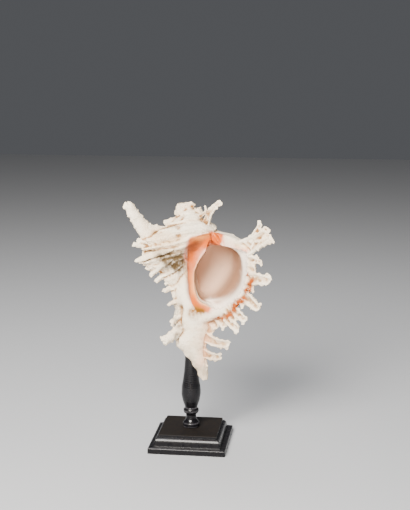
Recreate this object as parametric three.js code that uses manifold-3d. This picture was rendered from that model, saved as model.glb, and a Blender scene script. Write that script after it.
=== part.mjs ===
// A spiny murex shell held upright on a turned, ebonised stand.
// Millimetres, +Z up. The origin is the centre of the plinth's underside, on the stem's axis.
// The shell is worked out in a frame of its own: x right, y away from the viewer, z up the coil's
// axis, with heights written as the distance below the apex.

import * as THREE from 'three';
import { mergeVertices } from 'three/addons/utils/BufferGeometryUtils.js';
import Module from 'manifold-3d';

const wasm = await Module();
wasm.setup();

const degree = Math.PI / 180;
const touchGap = 0.3;

// Where the shell's frame sits in the object's frame: it leans back and rolls a little
const shellPlace = { x: 4.2, y: -3.8, z: 205, yaw: 7.2 * degree, lean: -10 * degree, roll: -5 * degree };
const apexHeight = 79.5;

// The coil: each whorl is growthPerTurn times the size of the one above it
const growthPerTurn = 1.85;
const spiralRate = Math.log(growthPerTurn) / (2 * Math.PI);
const lipAngle = -35 * degree;
const turns = 11 / 3;
const sutureHeight = 33;
const peripheryHeight = sutureHeight * growthPerTurn;
const basePole = 150;

// Three varices (the thick ribs) per turn, and how strongly each stands out, youngest first
const sector = 120;
const varixStrength = [
  { upper: 1, lower: 1 }, { upper: 1, lower: 1 }, { upper: 1.55, lower: 0.75 }, { upper: 0.55, lower: 1 },
];
const strengthChange = [98, 114];
const varixTail = 28;
const varixFront = 8;
const axialNode = { at: 60, spread: 15, rise: 0.07, from: 42, to: 76 };

// Spiral cords: one crest every cordPitch, from the first crest down
const cordPitch = 11;
const cordCrest = 40;
const cordRise = 0.8;
const cordRiseOnVarix = 1.3;
const cordsEnd = 128;

// Outlines of the last whorl as [distance below the apex, radius]: between varices, and on a varix
const restOutline = [
  [36, 37], [40, 44.5], [45.5, 51.5], [51, 56], [56.5, 57.8], [61.05, 58], [67.5, 58], [78.5, 55.3],
  [89.5, 50], [100.5, 42.5], [111.5, 32.5], [122.5, 23], [135, 13], [145, 6],
];
const varixOutline = [
  [36, 46], [40, 55], [45.5, 68], [51, 75.5], [56.5, 77.5], [61.05, 77.7], [70, 77.5], [85.5, 76],
  [97.8, 74], [103, 70.4], [112, 64], [122.7, 52], [133.6, 34], [142.5, 18], [146, 9],
];

// Rows of the coil's surface from the suture down, and columns behind each varix in degrees
const upperRows = [sutureHeight, 36, 40, 45.5, 51, 56.5];
const lowerRows = [peripheryHeight, 67.5, 73, 78.5, 84, 89.5, 95, 100.5, 106, 111.5, 117, 122.5, 131, 140];
const rowHeights = [...upperRows, ...lowerRows];
const columnSteps = [0, 5, 13, 25, 40, 65, 90, 108, 116];

// The neck and siphonal canal: [below apex, centre x, centre y, half width, half depth]
const neckSections = [
  [74, -9, -4, 14, 15], [88, -9, -3, 18, 20], [100, -8, -1, 19, 23], [112, -6, 0, 20, 24],
  [122, -4, -1, 22, 21.5], [131, -4, -3.5, 22.5, 16.5], [140, -5, -5, 22, 11.5],
  [155, -9.5, -4.5, 18.5, 9], [170, -6.5, -3, 12.5, 7], [184, -2.5, -1.5, 8, 5],
  [196, -0.5, 0, 4.5, 3.2], [201, 0, 0.5, 2.2, 1.8],
];
const neckSides = 14;

// The inner lip: outer edge and inner edge of its band, as [x, y, below apex], and how far its
// middle stands forward
const innerLip = [
  { outer: [22, -26, 33.5], inner: [24, -22, 46], crown: 0 },
  { outer: [10.5, -33, 34.5], inner: [17.5, -25.5, 48.5], crown: -1 },
  { outer: [-1, -35.3, 37.5], inner: [11.5, -27, 54], crown: -1.5 },
  { outer: [-5, -33.8, 47], inner: [6, -27, 62], crown: -0.5 },
  { outer: [-5.8, -30.3, 58], inner: [2.4, -25.7, 71], crown: 1 },
  { outer: [-6.8, -27.5, 70], inner: [0.8, -25.5, 77], crown: 1.6 },
  { outer: [-7, -26, 82], inner: [0, -25.4, 84], crown: 1.8 },
  { outer: [-6.8, -25.5, 96], inner: [-0.2, -25.4, 94], crown: 1.8 },
  { outer: [-5.6, -25.5, 110], inner: [1.6, -25.4, 104.5], crown: 1.8 },
  { outer: [-1, -25.8, 118], inner: [6, -25.4, 111.5], crown: 1.6 },
  { outer: [10, -26, 123], inner: [14.5, -25, 115.5], crown: 1 },
];
const innerLipRoot = { shrink: 0.45, y: -6 };

// Callus joining the neck to the foot of the outer lip: [x, y, below apex], half height, half depth
const callus = [
  { at: [4, -18, 124], half: [5, 3] }, { at: [10, -19, 122], half: [9, 6] },
  { at: [24, -21, 120.5], half: [9, 6] }, { at: [33, -22.5, 119.2], half: [4, 3] },
];
const callusSides = 10;

// The opening. Rim and throat points in the lip's plane are [radius, below apex]; on the inner
// lip they are [x, y, below apex]. Whorl points are [radius, below apex] of the last whorl.
const rimOnLip = [
  [26, 42], [36, 47.5], [49, 51], [63, 54.5], [74, 59.5], [73.5, 74], [71, 86], [66, 98], [57, 108],
  [43, 117], [26, 120.5],
];
const rimOnInnerLip = [[7.5, -27, 110.5], [1.3, -27, 98], [0.2, -27.5, 82], [3.2, -28, 68], [10.5, -29, 55]];
const throatOnLip = [
  [24, 49], [34, 48.4], [46, 50], [58, 55], [66, 63], [67.8, 76], [66, 87], [61.5, 97.5], [52, 106.5],
  [39, 112], [24, 114.5],
];
const throatOnInnerLip = [
  [7.5, -23, 110.5], [1.3, -23, 98], [0.2, -23, 82], [3.2, -23.5, 68], [10.5, -24, 55],
];
const throatDepth = 8;
const whorlHollow = [
  [29, 44], [37, 43], [45, 45.5], [50.5, 51], [52.5, 59], [52.5, 70], [49.5, 82], [43, 94], [34, 105],
  [23, 113], [12, 115], [6, 108], [4, 96], [4, 84], [9, 71], [17, 57],
];
const whorlHollowNear = [
  [27, 46], [37, 44], [45, 46], [51, 51.5], [54, 59.5], [54.5, 71], [52, 83], [46, 95], [37, 105.5],
  [25, 113], [11, 114.5], [3, 108], [0.5, 96], [0.5, 84], [3.5, 71], [11, 57],
];
const hollowNearAngle = 22;
const hollowAngles = [50, 75, 100, 130, 165, 195];
const hollowEnd = { angle: 212, shrink: 0.6 };
const cutterReach = 45;

// Spines of the last varix in its own plane: root and tip as [radius, below apex], half widths at
// both ends, how far the middle sags and how far the tip leans toward the opening
const lipSpines = [
  { root: [66, 57], tip: [111.5, 42], half: [8.5, 5.2], bow: 3, lean: 3 },
  { root: [70, 52], tip: [96.5, 26], half: [6.5, 1.8], bow: 3, lean: 0 },
  { root: [82, 51], tip: [106.5, 32.5], half: [6, 2.6], bow: 2, lean: 2 },
  { root: [68, 66], tip: [95, 71], half: [4.5, 1.8], bow: 0, lean: 3 },
  { root: [66, 82], tip: [105, 91], half: [6, 4], bow: -1, lean: 4 },
  { root: [98, 90], tip: [103.5, 82], half: [2.6, 1.2], bow: 0, lean: 4 },
  { root: [64, 93], tip: [82, 99], half: [4, 1.6], bow: 0, lean: 2 },
  { root: [60, 98], tip: [90, 121], half: [6, 3.4], bow: 2, lean: 5 },
  { root: [54, 103], tip: [65, 116], half: [4, 1.8], bow: 0, lean: 3 },
  { root: [43, 113], tip: [68.5, 134.5], half: [5.2, 2.8], bow: 2, lean: 4 },
  { root: [30, 122], tip: [57, 145], half: [5.5, 2.8], bow: 3, lean: 4 },
  { root: [22, 124], tip: [32, 143], half: [5, 2], bow: 0, lean: 2 },
  { root: [4, 148], tip: [45, 158], half: [5, 2.9], bow: 14, lean: 4 },
  { root: [0, 167], tip: [30.5, 173.5], half: [5, 2.8], bow: 8, lean: 3 },
  { root: [0, 183], tip: [9.5, 186.5], half: [3.4, 1], bow: 0, lean: 1 },
];

// Spines of the varix on the left, in its plane
const leftSpines = [
  { root: [48, 34], tip: [75, -9], half: [13, 3.8], bow: 3.5, lean: 0 },
  { root: [28, 33], tip: [57, 22], half: [12, 6.5], bow: 1, lean: 0 },
  { root: [50, 39], tip: [68, 33.6], half: [4, 1.4], bow: 0, lean: 0 },
  { root: [50, 45], tip: [73.5, 38.5], half: [4.5, 2], bow: 0, lean: 0 },
  { root: [46, 60], tip: [69.5, 58.5], half: [4.8, 2.6], bow: 0, lean: -2 },
  { root: [38, 66], tip: [56.5, 77], half: [4.4, 2.2], bow: 0, lean: -3 },
  { root: [30, 74], tip: [51, 84], half: [4.4, 2.2], bow: 0, lean: -3 },
  { root: [20, 90], tip: [42.3, 95.5], half: [4.6, 2.4], bow: 0, lean: -3 },
  { root: [20, 106], tip: [37, 111.5], half: [4.6, 1.6], bow: 0, lean: -2 },
  { root: [16, 121], tip: [36.5, 133], half: [5.4, 2.2], bow: 0, lean: -2 },
  { root: [14, 132], tip: [48.5, 151], half: [7.5, 4.6], bow: 5, lean: -4 },
];

// Spines of the varix at the back: the lip's, grown to its size, with the upper ones turned up
const backSpines = [
  { root: [66, 54], tip: [97, 10], half: [10, 4], bow: 4, lean: 0 },
  { root: [68, 66], tip: [92, 66], half: [4.5, 1.8], bow: 0, lean: 2 },
  { root: [66, 80], tip: [100, 84], half: [5.5, 3], bow: 2, lean: 2 },
  { root: [64, 92], tip: [84, 99], half: [4, 1.6], bow: 0, lean: 1 },
  { root: [58, 100], tip: [86, 118], half: [5.5, 3], bow: 2, lean: 2 },
  { root: [46, 112], tip: [66, 132], half: [5, 2.4], bow: 2, lean: 2 },
  { root: [34, 121], tip: [50, 142], half: [4.6, 2], bow: 2, lean: 2 },
];

// Shoulder spines of the older varices, sized with their whorl, and the worn tip of the spire
const spireSpines = [
  { varix: 3, root: [41, 50], tip: [87, 4], half: [12, 4.4], bow: -20, lean: 4 },
  { varix: 3, root: [44, 38], tip: [46, 1], half: [5, 1.4], bow: 0, lean: 8 },
  { varix: 4, root: [48, 52], tip: [82, 22], half: [9, 4], bow: 2, lean: 0 },
  { varix: 5, root: [56, 58], tip: [90, 47], half: [9, 4], bow: 2, lean: 0 },
  { varix: 6, root: [52, 50], tip: [84, 30], half: [10, 5], bow: 2, lean: 0 },
  { varix: 7, root: [50, 50], tip: [84, 24], half: [12, 6], bow: 2, lean: 0 },
];
const wornTip = [
  { from: [6, 3, 12], to: [-13, -3, 2], half: [9, 5.5] },
  { from: [-4, 2, 9], to: [-3, 0, -2], half: [9, 7] },
  { from: [-2, 0, 8], to: [5, -2, -1], half: [7, 2.6] },
];
const spineStops = [0, 0.42, 0.76, 1];

// The stand: profile of the turned stem as [radius, height], the hidden pin, and the plinth's tiers
const stemTop = 160;
const stemProfile = [
  [9.3, 0], [9.9, 1], [9.9, 4.4], [9, 5.9], [7.6, 7.5], [6.4, 10], [5.9, 13], [6.2, 15.6], [8.2, 17.2],
  [9, 18.6], [9, 20.9], [8.1, 22.4], [7.3, 23.6], [8.3, 27], [10.2, 33], [11.4, 41], [11.1, 48],
  [9.8, 56], [8.1, 69], [7.1, 82], [6.4, 98], [6, 118],
];
const stemSides = 24;
const saddleGap = 0.35;
const pin = { radius: 1.6, from: 126, to: 166, clearance: 0.3, sides: 16 };
const plinthProfile = [
  [45, 0], [45, 4.4], [44.3, 5.6], [42.8, 6.1], [39.4, 6.1], [39, 7.2], [38.4, 10.4], [37.6, 13.6],
  [36.4, 15.6], [34.6, 16.4], [33.9, 16.7], [33.9, 19.2], [33.4, 19.72],
];

const materials = {
  shell: new THREE.MeshStandardMaterial({ color: 0xf2e9dc, roughness: 0.6, metalness: 0 }),
  ebonised: new THREE.MeshStandardMaterial({ color: 0x0d0c0c, roughness: 0.32, metalness: 0 }),
  steel: new THREE.MeshStandardMaterial({ color: 0x9a9a98, roughness: 0.35, metalness: 1 }),
};

// Signed volume, to tell whether a closed surface faces out
function signedVolume(points, triangles) {
  return triangles.reduce((sum, [a, b, c]) => {
    const cross = new THREE.Vector3().crossVectors(points[b], points[c]);
    return sum + points[a].dot(cross) / 6;
  }, 0);
}

// Closed surface from points and triangles, turned outward if it came out reversed
function closedSurface(points, triangles) {
  const flipped = signedVolume(points, triangles) < 0;
  const index = triangles.flatMap(([a, b, c]) => (flipped ? [a, c, b] : [a, b, c]));
  const geometry = new THREE.BufferGeometry();
  geometry.setAttribute('position', new THREE.Float32BufferAttribute(points.flatMap((p) => p.toArray()), 3));
  geometry.setIndex(index);
  return geometry;
}

// Rings of equal length skinned in order, each end closed by a fan from its middle
function skinRings(rings) {
  const count = rings[0].length;
  const points = rings.flat();
  const triangles = [];
  rings.slice(1).forEach((_, ring) => {
    for (let i = 0; i < count; i += 1) {
      const next = (i + 1) % count;
      const [a, b] = [ring * count + i, ring * count + next];
      triangles.push([a, b, b + count], [a, b + count, a + count]);
    }
  });
  [0, rings.length - 1].forEach((ring) => {
    const middle = rings[ring].reduce((sum, p) => sum.add(p), new THREE.Vector3()).divideScalar(count);
    points.push(middle);
    for (let i = 0; i < count; i += 1) {
      const edge = [ring * count + i, ring * count + ((i + 1) % count)];
      triangles.push(ring === 0 ? [edge[1], edge[0], points.length - 1] : [...edge, points.length - 1]);
    }
  });
  return closedSurface(points, triangles);
}

function toSolid(geometry) {
  const bare = geometry.clone();
  bare.deleteAttribute('normal');
  bare.deleteAttribute('uv');
  const merged = mergeVertices(bare, 1e-4);
  return new wasm.Manifold(new wasm.Mesh({
    numProp: 3,
    vertProperties: Float32Array.from(merged.attributes.position.array),
    triVerts: Uint32Array.from(merged.index.array),
  }));
}

function toGeometry(solid) {
  const mesh = solid.getMesh();
  const geometry = new THREE.BufferGeometry();
  geometry.setAttribute('position', new THREE.Float32BufferAttribute(mesh.vertProperties, 3));
  geometry.setIndex(new THREE.Uint32BufferAttribute(mesh.triVerts, 1));
  const faceted = geometry.toNonIndexed();
  faceted.computeVertexNormals();
  return faceted;
}

const smoothStep = (from, to, value) => THREE.MathUtils.smoothstep(value, from, to);

// Radius read off an outline of [height, radius] pairs, straight between its points
function readOutline(outline, height) {
  const last = outline.length - 1;
  if (height <= outline[0][0]) return outline[0][1];
  if (height >= outline[last][0]) return outline[last][1];
  const i = outline.findIndex(([h]) => h > height);
  const [[h0, r0], [h1, r1]] = [outline[i - 1], outline[i]];
  return r0 + ((r1 - r0) * (height - h0)) / (h1 - h0);
}

const growth = (phi) => Math.exp(spiralRate * phi);

// How far a plan angle phi (0 at the lip, negative toward the apex) is raised to a varix, 0 to 1
// and past 1 on the strong ones: a long tail behind the crest and a steep front
function varixSwell(phi, row) {
  const back = -phi / degree;
  const youngest = Math.floor(back / sector + 1e-9);
  const behind = back - youngest * sector;
  const lower = smoothStep(...strengthChange, row);
  const strength = (n) => {
    const varix = varixStrength[Math.min(n, varixStrength.length - 1)];
    return THREE.MathUtils.lerp(varix.upper, varix.lower, lower);
  };
  const tail = strength(youngest) * Math.exp(-((behind / varixTail) ** 2));
  const front = strength(youngest + 1) * Math.exp(-(((sector - behind) / varixFront) ** 2));
  return { swell: Math.max(tail, front), behind };
}

// A point of the coil's surface. The suture row of one whorl is the periphery row of the whorl
// above it, and the lower rows run together at the base pole, inside the neck.
function coilPoint(phi, row) {
  if (row === sutureHeight) return coilPoint(phi - 2 * Math.PI, peripheryHeight);
  const size = growth(phi);
  const { swell, behind } = varixSwell(phi, row);
  const rest = readOutline(restOutline, row);
  const raised = rest + swell * (readOutline(varixOutline, row) - rest);
  const fade = 1 - smoothStep(110, cordsEnd + 6, row);
  const wave = Math.cos((2 * Math.PI * (row - cordCrest)) / cordPitch);
  const cord = wave * (cordRise + cordRiseOnVarix * swell);
  const nodeBand = smoothStep(axialNode.from - 6, axialNode.from + 6, row)
    * (1 - smoothStep(axialNode.to - 6, axialNode.to + 12, row));
  const offNode = (behind - axialNode.at) / axialNode.spread;
  const node = axialNode.rise * rest * nodeBand * Math.exp(-(offNode ** 2));
  const radius = size * (raised + cord * fade + node);
  const below = THREE.MathUtils.lerp(size * row, row, smoothStep(100, basePole, row));
  return planePoint(lipAngle - phi, radius, below);
}

// A point at a radius and a distance below the apex in the plane through the axis at a plan angle
function planePoint(angle, radius, below, lean = 0) {
  return new THREE.Vector3(
    radius * Math.cos(angle) + lean * Math.sin(angle),
    radius * Math.sin(angle) - lean * Math.cos(angle),
    apexHeight - below,
  );
}

const framePoint = ([x, y, below]) => new THREE.Vector3(x, y, apexHeight - below);

// Columns of the coil as angles phi, oldest first
function coilColumns() {
  const sectors = Math.round(turns * 3);
  const behind = [];
  for (let n = 0; n < sectors; n += 1) columnSteps.forEach((step) => behind.push(n * sector + step));
  behind.push(sectors * sector);
  return behind.reverse().map((angle) => -angle * degree);
}

// The whole coil as one closed surface: upper rows on every whorl, lower rows on the last one,
// the flat wall at the lip, the start of the coil and the worn apex
function coilSurface() {
  const columns = coilColumns();
  const perTurn = columnSteps.length * 3;
  const lastTurn = columns.length - 1 - perTurn;
  const points = [];
  const grid = columns.map((phi, i) => rowHeights.map((row, j) => {
    if (j === 0 && i >= perTurn) return null;
    if (j > upperRows.length && i < lastTurn) return null;
    if (j === 0) return null;
    points.push(coilPoint(phi, row));
    return points.length - 1;
  }));
  const apex = points.push(new THREE.Vector3(0, 0, apexHeight - 1.5)) - 1;
  const pole = points.push(new THREE.Vector3(0, 0, apexHeight - basePole)) - 1;
  const vertex = (i, j, strip = i) => {
    if (j === rowHeights.length) return pole;
    if (j > 0) return grid[i][j];
    return strip < perTurn ? apex : grid[i - perTurn][upperRows.length];
  };
  const triangles = [];
  for (let i = 0; i + 1 < columns.length; i += 1) {
    const rows = i < lastTurn ? upperRows.length : rowHeights.length;
    for (let j = 0; j < rows; j += 1) {
      const [a, b, c, d] = [vertex(i, j), vertex(i + 1, j, i), vertex(i + 1, j + 1), vertex(i, j + 1)];
      if (a !== b) triangles.push([a, b, c]);
      if (c !== d) triangles.push([a, c, d]);
    }
  }
  const down = (i, from, to) => {
    const list = [];
    for (let j = from; j <= to; j += 1) list.push(vertex(i, j));
    return list;
  };
  const end = columns.length - 1;
  const innerEdge = down(lastTurn, upperRows.length + 1, rowHeights.length - 1).reverse();
  const lipWall = [...down(end, 0, rowHeights.length), ...innerEdge];
  const startWall = [...down(0, 0, upperRows.length), vertex(perTurn, 1)];
  [[lipWall, 1], [startWall, -1]].forEach(([outline, side]) => {
    const flat = outline.map((v) => new THREE.Vector2(Math.hypot(points[v].x, points[v].y), points[v].z));
    THREE.ShapeUtils.triangulateShape(flat, []).forEach(([a, b, c]) => {
      const turned = orientation(flat[a], flat[b], flat[c]) * side > 0;
      triangles.push(turned ? [outline[a], outline[b], outline[c]] : [outline[a], outline[c], outline[b]]);
    });
  });
  return closedSurface(points, triangles);
}

const orientation = (a, b, c) => (b.x - a.x) * (c.y - a.y) - (b.y - a.y) * (c.x - a.x);

// The neck and canal, flat ovals stacked down to the tip
function neckSurface() {
  return skinRings(neckSections.map(([below, x, y, halfWidth, halfDepth]) => {
    const ring = [];
    for (let i = 0; i < neckSides; i += 1) {
      const turn = (2 * Math.PI * i) / neckSides;
      const [c, s] = [Math.cos(turn), Math.sin(turn)];
      ring.push(framePoint([x + halfWidth * c, y + halfDepth * s, below]));
    }
    return ring;
  }));
}

// The inner lip: a band from outer to inner edge, rooted in the pillar behind it
function innerLipSurface() {
  const rooted = ([x, , below], pull) => framePoint([x * innerLipRoot.shrink + pull, innerLipRoot.y, below]);
  return skinRings(innerLip.map(({ outer, inner, crown }) => {
    const middle = framePoint(outer).add(framePoint(inner)).multiplyScalar(0.5);
    middle.y -= crown;
    return [framePoint(outer), middle, framePoint(inner), rooted(inner, 2), rooted(outer, -4)];
  }));
}

// The callus: upright ovals along its line
function callusSurface() {
  return skinRings(callus.map(({ at: [x, y, below], half }) => {
    const ring = [];
    for (let i = 0; i < callusSides; i += 1) {
      const turn = (2 * Math.PI * i) / callusSides;
      ring.push(framePoint([x, y + half[1] * Math.sin(turn), below + half[0] * Math.cos(turn)]));
    }
    return ring;
  }));
}

// The hollow: from well in front of the rim, through the throat, and back around the axis
function hollowSurface() {
  const inPlane = ([radius, below], depth) => {
    const point = planePoint(lipAngle, radius, below);
    point.y += depth;
    return point;
  };
  const rim = [...rimOnLip.map((p) => inPlane(p, -1)), ...rimOnInnerLip.map(framePoint)];
  const throat = [...throatOnLip.map((p) => inPlane(p, throatDepth)), ...throatOnInnerLip.map(framePoint)];
  const front = rim.map((p) => p.clone().add(new THREE.Vector3(0, -cutterReach, 0)));
  const section = (angle, shrink, outline = whorlHollow) => {
    const size = growth(-angle * degree);
    const [radius0, below0] = [24, 80];
    return outline.map(([radius, below]) => planePoint(
      lipAngle + angle * degree,
      size * THREE.MathUtils.lerp(radius0, radius, shrink),
      size * THREE.MathUtils.lerp(below0, below, shrink),
    ));
  };
  const near = section(hollowNearAngle, 1, whorlHollowNear);
  const inside = hollowAngles.map((angle) => section(angle, 1));
  return skinRings([front, rim, throat, near, ...inside, section(hollowEnd.angle, hollowEnd.shrink)]);
}

// A spine: a channelled blade along a bowed path. Its section is six-sided, open toward growth.
function spineSurface(root, middle, tip, half, growthWay) {
  const path = new THREE.QuadraticBezierCurve3(root, middle, tip);
  const section = [[-1, 0.5], [0, 0.02], [1, 0.5], [0.72, -0.42], [0, -0.75], [-0.72, -0.42]];
  return skinRings(spineStops.map((stop) => {
    const centre = path.getPoint(stop);
    const across = new THREE.Vector3().crossVectors(path.getTangent(stop), growthWay).normalize();
    const width = THREE.MathUtils.lerp(half[0], half[1], Math.sqrt(stop));
    return section.map(([u, v]) => centre.clone().addScaledVector(across, u * width)
      .addScaledVector(growthWay, v * width));
  }));
}

// Spines listed in a varix's plane, at the size of that varix's whorl
function varixSpines(varix, spines, size) {
  const angle = lipAngle + varix * sector * degree;
  const growthWay = planePoint(angle, 0, apexHeight, 1);
  return spines.map(({ root, tip, half, bow, lean }) => {
    const at = ([radius, below], forward) => planePoint(angle, radius * size, below * size, forward * size);
    const [from, to] = [at(root, 0), at(tip, lean)];
    const middle = from.clone().lerp(to, 0.5);
    const sideways = new THREE.Vector3().crossVectors(to.clone().sub(from).normalize(), growthWay);
    middle.addScaledVector(sideways, bow * size);
    return spineSurface(from, middle, to, half.map((h) => h * size), growthWay);
  });
}

function allSpines() {
  const ofVarix = (n) => growth(-n * sector * degree);
  const older = spireSpines.flatMap((spine) => varixSpines(spine.varix, [spine], ofVarix(spine.varix)));
  const worn = wornTip.map(({ from, to, half }) => {
    const [a, b] = [framePoint(from), framePoint(to)];
    return spineSurface(a, a.clone().lerp(b, 0.5), b, half, new THREE.Vector3(0, -1, 0));
  });
  return [
    ...varixSpines(0, lipSpines, 1), ...varixSpines(1, backSpines, ofVarix(1)),
    ...varixSpines(2, leftSpines, 1), ...older, ...worn,
  ];
}

// Moves a geometry from the shell's frame to the object's
function placeShell(geometry) {
  const turn = new THREE.Euler(shellPlace.lean, shellPlace.roll, shellPlace.yaw, 'ZXY');
  const place = new THREE.Matrix4().makeRotationFromEuler(turn);
  place.setPosition(shellPlace.x, shellPlace.y, shellPlace.z);
  return geometry.clone().applyMatrix4(place);
}

// A round bar standing on the stem's axis
function uprightBar(radius, from, to) {
  const bar = new THREE.CylinderGeometry(radius, radius, to - from, pin.sides);
  return bar.rotateX(Math.PI / 2).translate(0, 0, (from + to) / 2);
}

// The whole shell, placed in the object's frame
function shellSurface() {
  const whole = [neckSurface(), innerLipSurface(), callusSurface()]
    .reduce((solid, geometry) => solid.add(toSolid(geometry)), toSolid(coilSurface()))
    .subtract(toSolid(hollowSurface()));
  const spiny = allSpines().reduce((solid, geometry) => solid.add(toSolid(geometry)), whole);
  // Where forms cross, a sealed bubble can stay between them: the outer body alone is kept
  const [outer] = spiny.decompose().sort((a, b) => b.volume() - a.volume());
  return placeShell(toGeometry(outer));
}

// The stem stands on the plinth, and its top is cut on the slant to cradle the shell's neck
function stemGeometry(shell, pinHole) {
  const foot = plinthProfile[plinthProfile.length - 1][1] + touchGap;
  const outline = stemProfile.map(([radius, height]) => new THREE.Vector2(radius, foot + height));
  const topRadius = outline[outline.length - 1].x;
  const profile = [
    new THREE.Vector2(0, foot), ...outline,
    new THREE.Vector2(topRadius, stemTop), new THREE.Vector2(0, stemTop),
  ];
  const turned = new THREE.LatheGeometry(profile, stemSides).rotateX(Math.PI / 2);
  const cradle = shell.clone().translate(0, saddleGap, -saddleGap);
  return toGeometry(toSolid(turned).subtract(toSolid(shell)).subtract(toSolid(cradle)).subtract(pinHole));
}

// Square tiers with rounded edges, stacked from their half widths
function plinthGeometry() {
  const ring = ([half, height]) => [[-1, -1], [1, -1], [1, 1], [-1, 1]]
    .map(([x, y]) => new THREE.Vector3(x * half, y * half, height));
  const stacked = skinRings(plinthProfile.map(ring)).toNonIndexed();
  stacked.computeVertexNormals();
  return stacked;
}

const holeEnds = [pin.from - pin.clearance, pin.to + pin.clearance];
const pinHole = toSolid(uprightBar(pin.radius + pin.clearance, ...holeEnds));
const shell = shellSurface();
const parts = {
  plinth: [plinthGeometry(), materials.ebonised],
  stem: [stemGeometry(shell, pinHole), materials.ebonised],
  pin: [uprightBar(pin.radius, pin.from, pin.to), materials.steel],
  shell: [toGeometry(toSolid(shell).subtract(pinHole)), materials.shell],
};

const murex = new THREE.Group();
Object.entries(parts).forEach(([name, [geometry, material]]) => {
  const mesh = new THREE.Mesh(geometry, material);
  mesh.name = name;
  murex.add(mesh);
});

export default murex;
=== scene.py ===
import math

import bpy
import numpy as np
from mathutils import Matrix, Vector


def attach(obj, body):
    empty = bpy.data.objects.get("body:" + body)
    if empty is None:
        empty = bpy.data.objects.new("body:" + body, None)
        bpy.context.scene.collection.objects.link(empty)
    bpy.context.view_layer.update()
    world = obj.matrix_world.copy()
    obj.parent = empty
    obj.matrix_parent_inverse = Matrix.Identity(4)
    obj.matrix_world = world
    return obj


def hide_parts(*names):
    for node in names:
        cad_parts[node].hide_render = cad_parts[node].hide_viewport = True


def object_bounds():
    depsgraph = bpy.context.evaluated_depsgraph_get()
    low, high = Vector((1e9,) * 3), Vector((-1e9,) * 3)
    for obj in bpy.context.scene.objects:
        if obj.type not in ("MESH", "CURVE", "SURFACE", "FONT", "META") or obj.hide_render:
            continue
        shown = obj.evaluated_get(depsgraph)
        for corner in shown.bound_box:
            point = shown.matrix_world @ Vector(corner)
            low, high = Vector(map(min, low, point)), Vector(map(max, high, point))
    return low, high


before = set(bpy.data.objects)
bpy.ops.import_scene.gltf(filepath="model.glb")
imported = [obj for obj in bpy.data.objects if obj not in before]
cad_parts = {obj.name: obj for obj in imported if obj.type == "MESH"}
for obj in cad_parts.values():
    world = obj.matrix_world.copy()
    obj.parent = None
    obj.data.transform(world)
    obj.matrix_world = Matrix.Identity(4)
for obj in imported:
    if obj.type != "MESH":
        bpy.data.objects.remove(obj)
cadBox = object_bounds()
print("frame loaded:", ", ".join(sorted(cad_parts)))

mm = 0.001

# Where the shell's own frame sits: x right, y away from the viewer, z up the coil's axis.
# Heights on the shell are written as the distance below the apex.
shellPlace = dict(at=(4.2, -3.8, 205.0), yaw=7.2, lean=-10.0, roll=-5.0, apex=79.5)


def smoothThrough(knots, values, at):
    # Monotone cubic: each slope is the harmonic mean of the two chords beside it, or 0 at a peak
    x = np.asarray(knots, float)
    y = np.asarray(values, float).reshape(len(x), -1)
    step = np.diff(x)[:, None]
    chord = np.diff(y, axis=0) / step
    slope = np.zeros_like(y)
    before, after = chord[:-1], chord[1:]
    agree = before * after > 0
    total = np.where(agree, before + after, 1.0)
    slope[1:-1] = np.where(agree, 2 * before * after / total, 0.0)
    slope[0], slope[-1] = chord[0], chord[-1]
    at = np.asarray(at, float)
    i = np.clip(np.searchsorted(x, at) - 1, 0, len(x) - 2)
    t = np.clip((at - x[i]) / step[i, 0], 0, 1)[:, None]
    run = step[i]
    out = ((1 + 2 * t) * (1 - t) ** 2 * y[i] + t * (1 - t) ** 2 * run * slope[i]
           + t * t * (3 - 2 * t) * y[i + 1] + t * t * (t - 1) * run * slope[i + 1])
    return out[:, 0] if np.ndim(values) == 1 else out


def smoothRing(points, count):
    # Closed curve through the points: each stretch is a cubic whose end slopes are half the chord
    # from the point before to the point after
    points = np.asarray(points, float)
    where = np.arange(count) / count * len(points)
    i = np.floor(where).astype(int)
    t = (where - i)[:, None]
    a, b, c, d = (points[(i + k) % len(points)] for k in (-1, 0, 1, 2))
    return 0.5 * (2 * b + (c - a) * t + (2 * a - 5 * b + 4 * c - d) * t ** 2 + (3 * b - a - 3 * c + d) * t ** 3)


def easeBetween(low, high, value):
    # 0 below low, 1 above high, and 3t^2 - 2t^3 between
    t = np.clip((value - low) / (high - low), 0, 1)
    return t * t * (3 - 2 * t)


def wander(points, size, seed):
    # Smooth uneven field of about -1 to 1: seven sine waves in directions spread round a ball,
    # each a little shorter than the last, with phases from the seed
    k = np.arange(7)
    up = 1 - 2 * (k + 0.5) / 7
    turn = k * 2.39996 + seed
    ways = np.stack([np.sqrt(1 - up * up) * np.cos(turn), np.sqrt(1 - up * up) * np.sin(turn), up], 1)
    waves = np.asarray(points) @ (ways * (2 * np.pi / size) * (0.7 + 0.13 * k)[:, None]).T
    return np.sin(waves + seed * (1.7 + k) + 2.1 * k * k).sum(-1) / 3.4


def gridFaces(rows, columns, offset=0):
    # Quads between neighbouring rows of a grid whose columns close on themselves
    i, j = np.meshgrid(np.arange(rows - 1), np.arange(columns), indexing="ij")
    after = (j + 1) % columns
    quads = np.stack([i * columns + j, i * columns + after, (i + 1) * columns + after, (i + 1) * columns + j], -1)
    return quads.reshape(-1, 4) + offset


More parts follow.
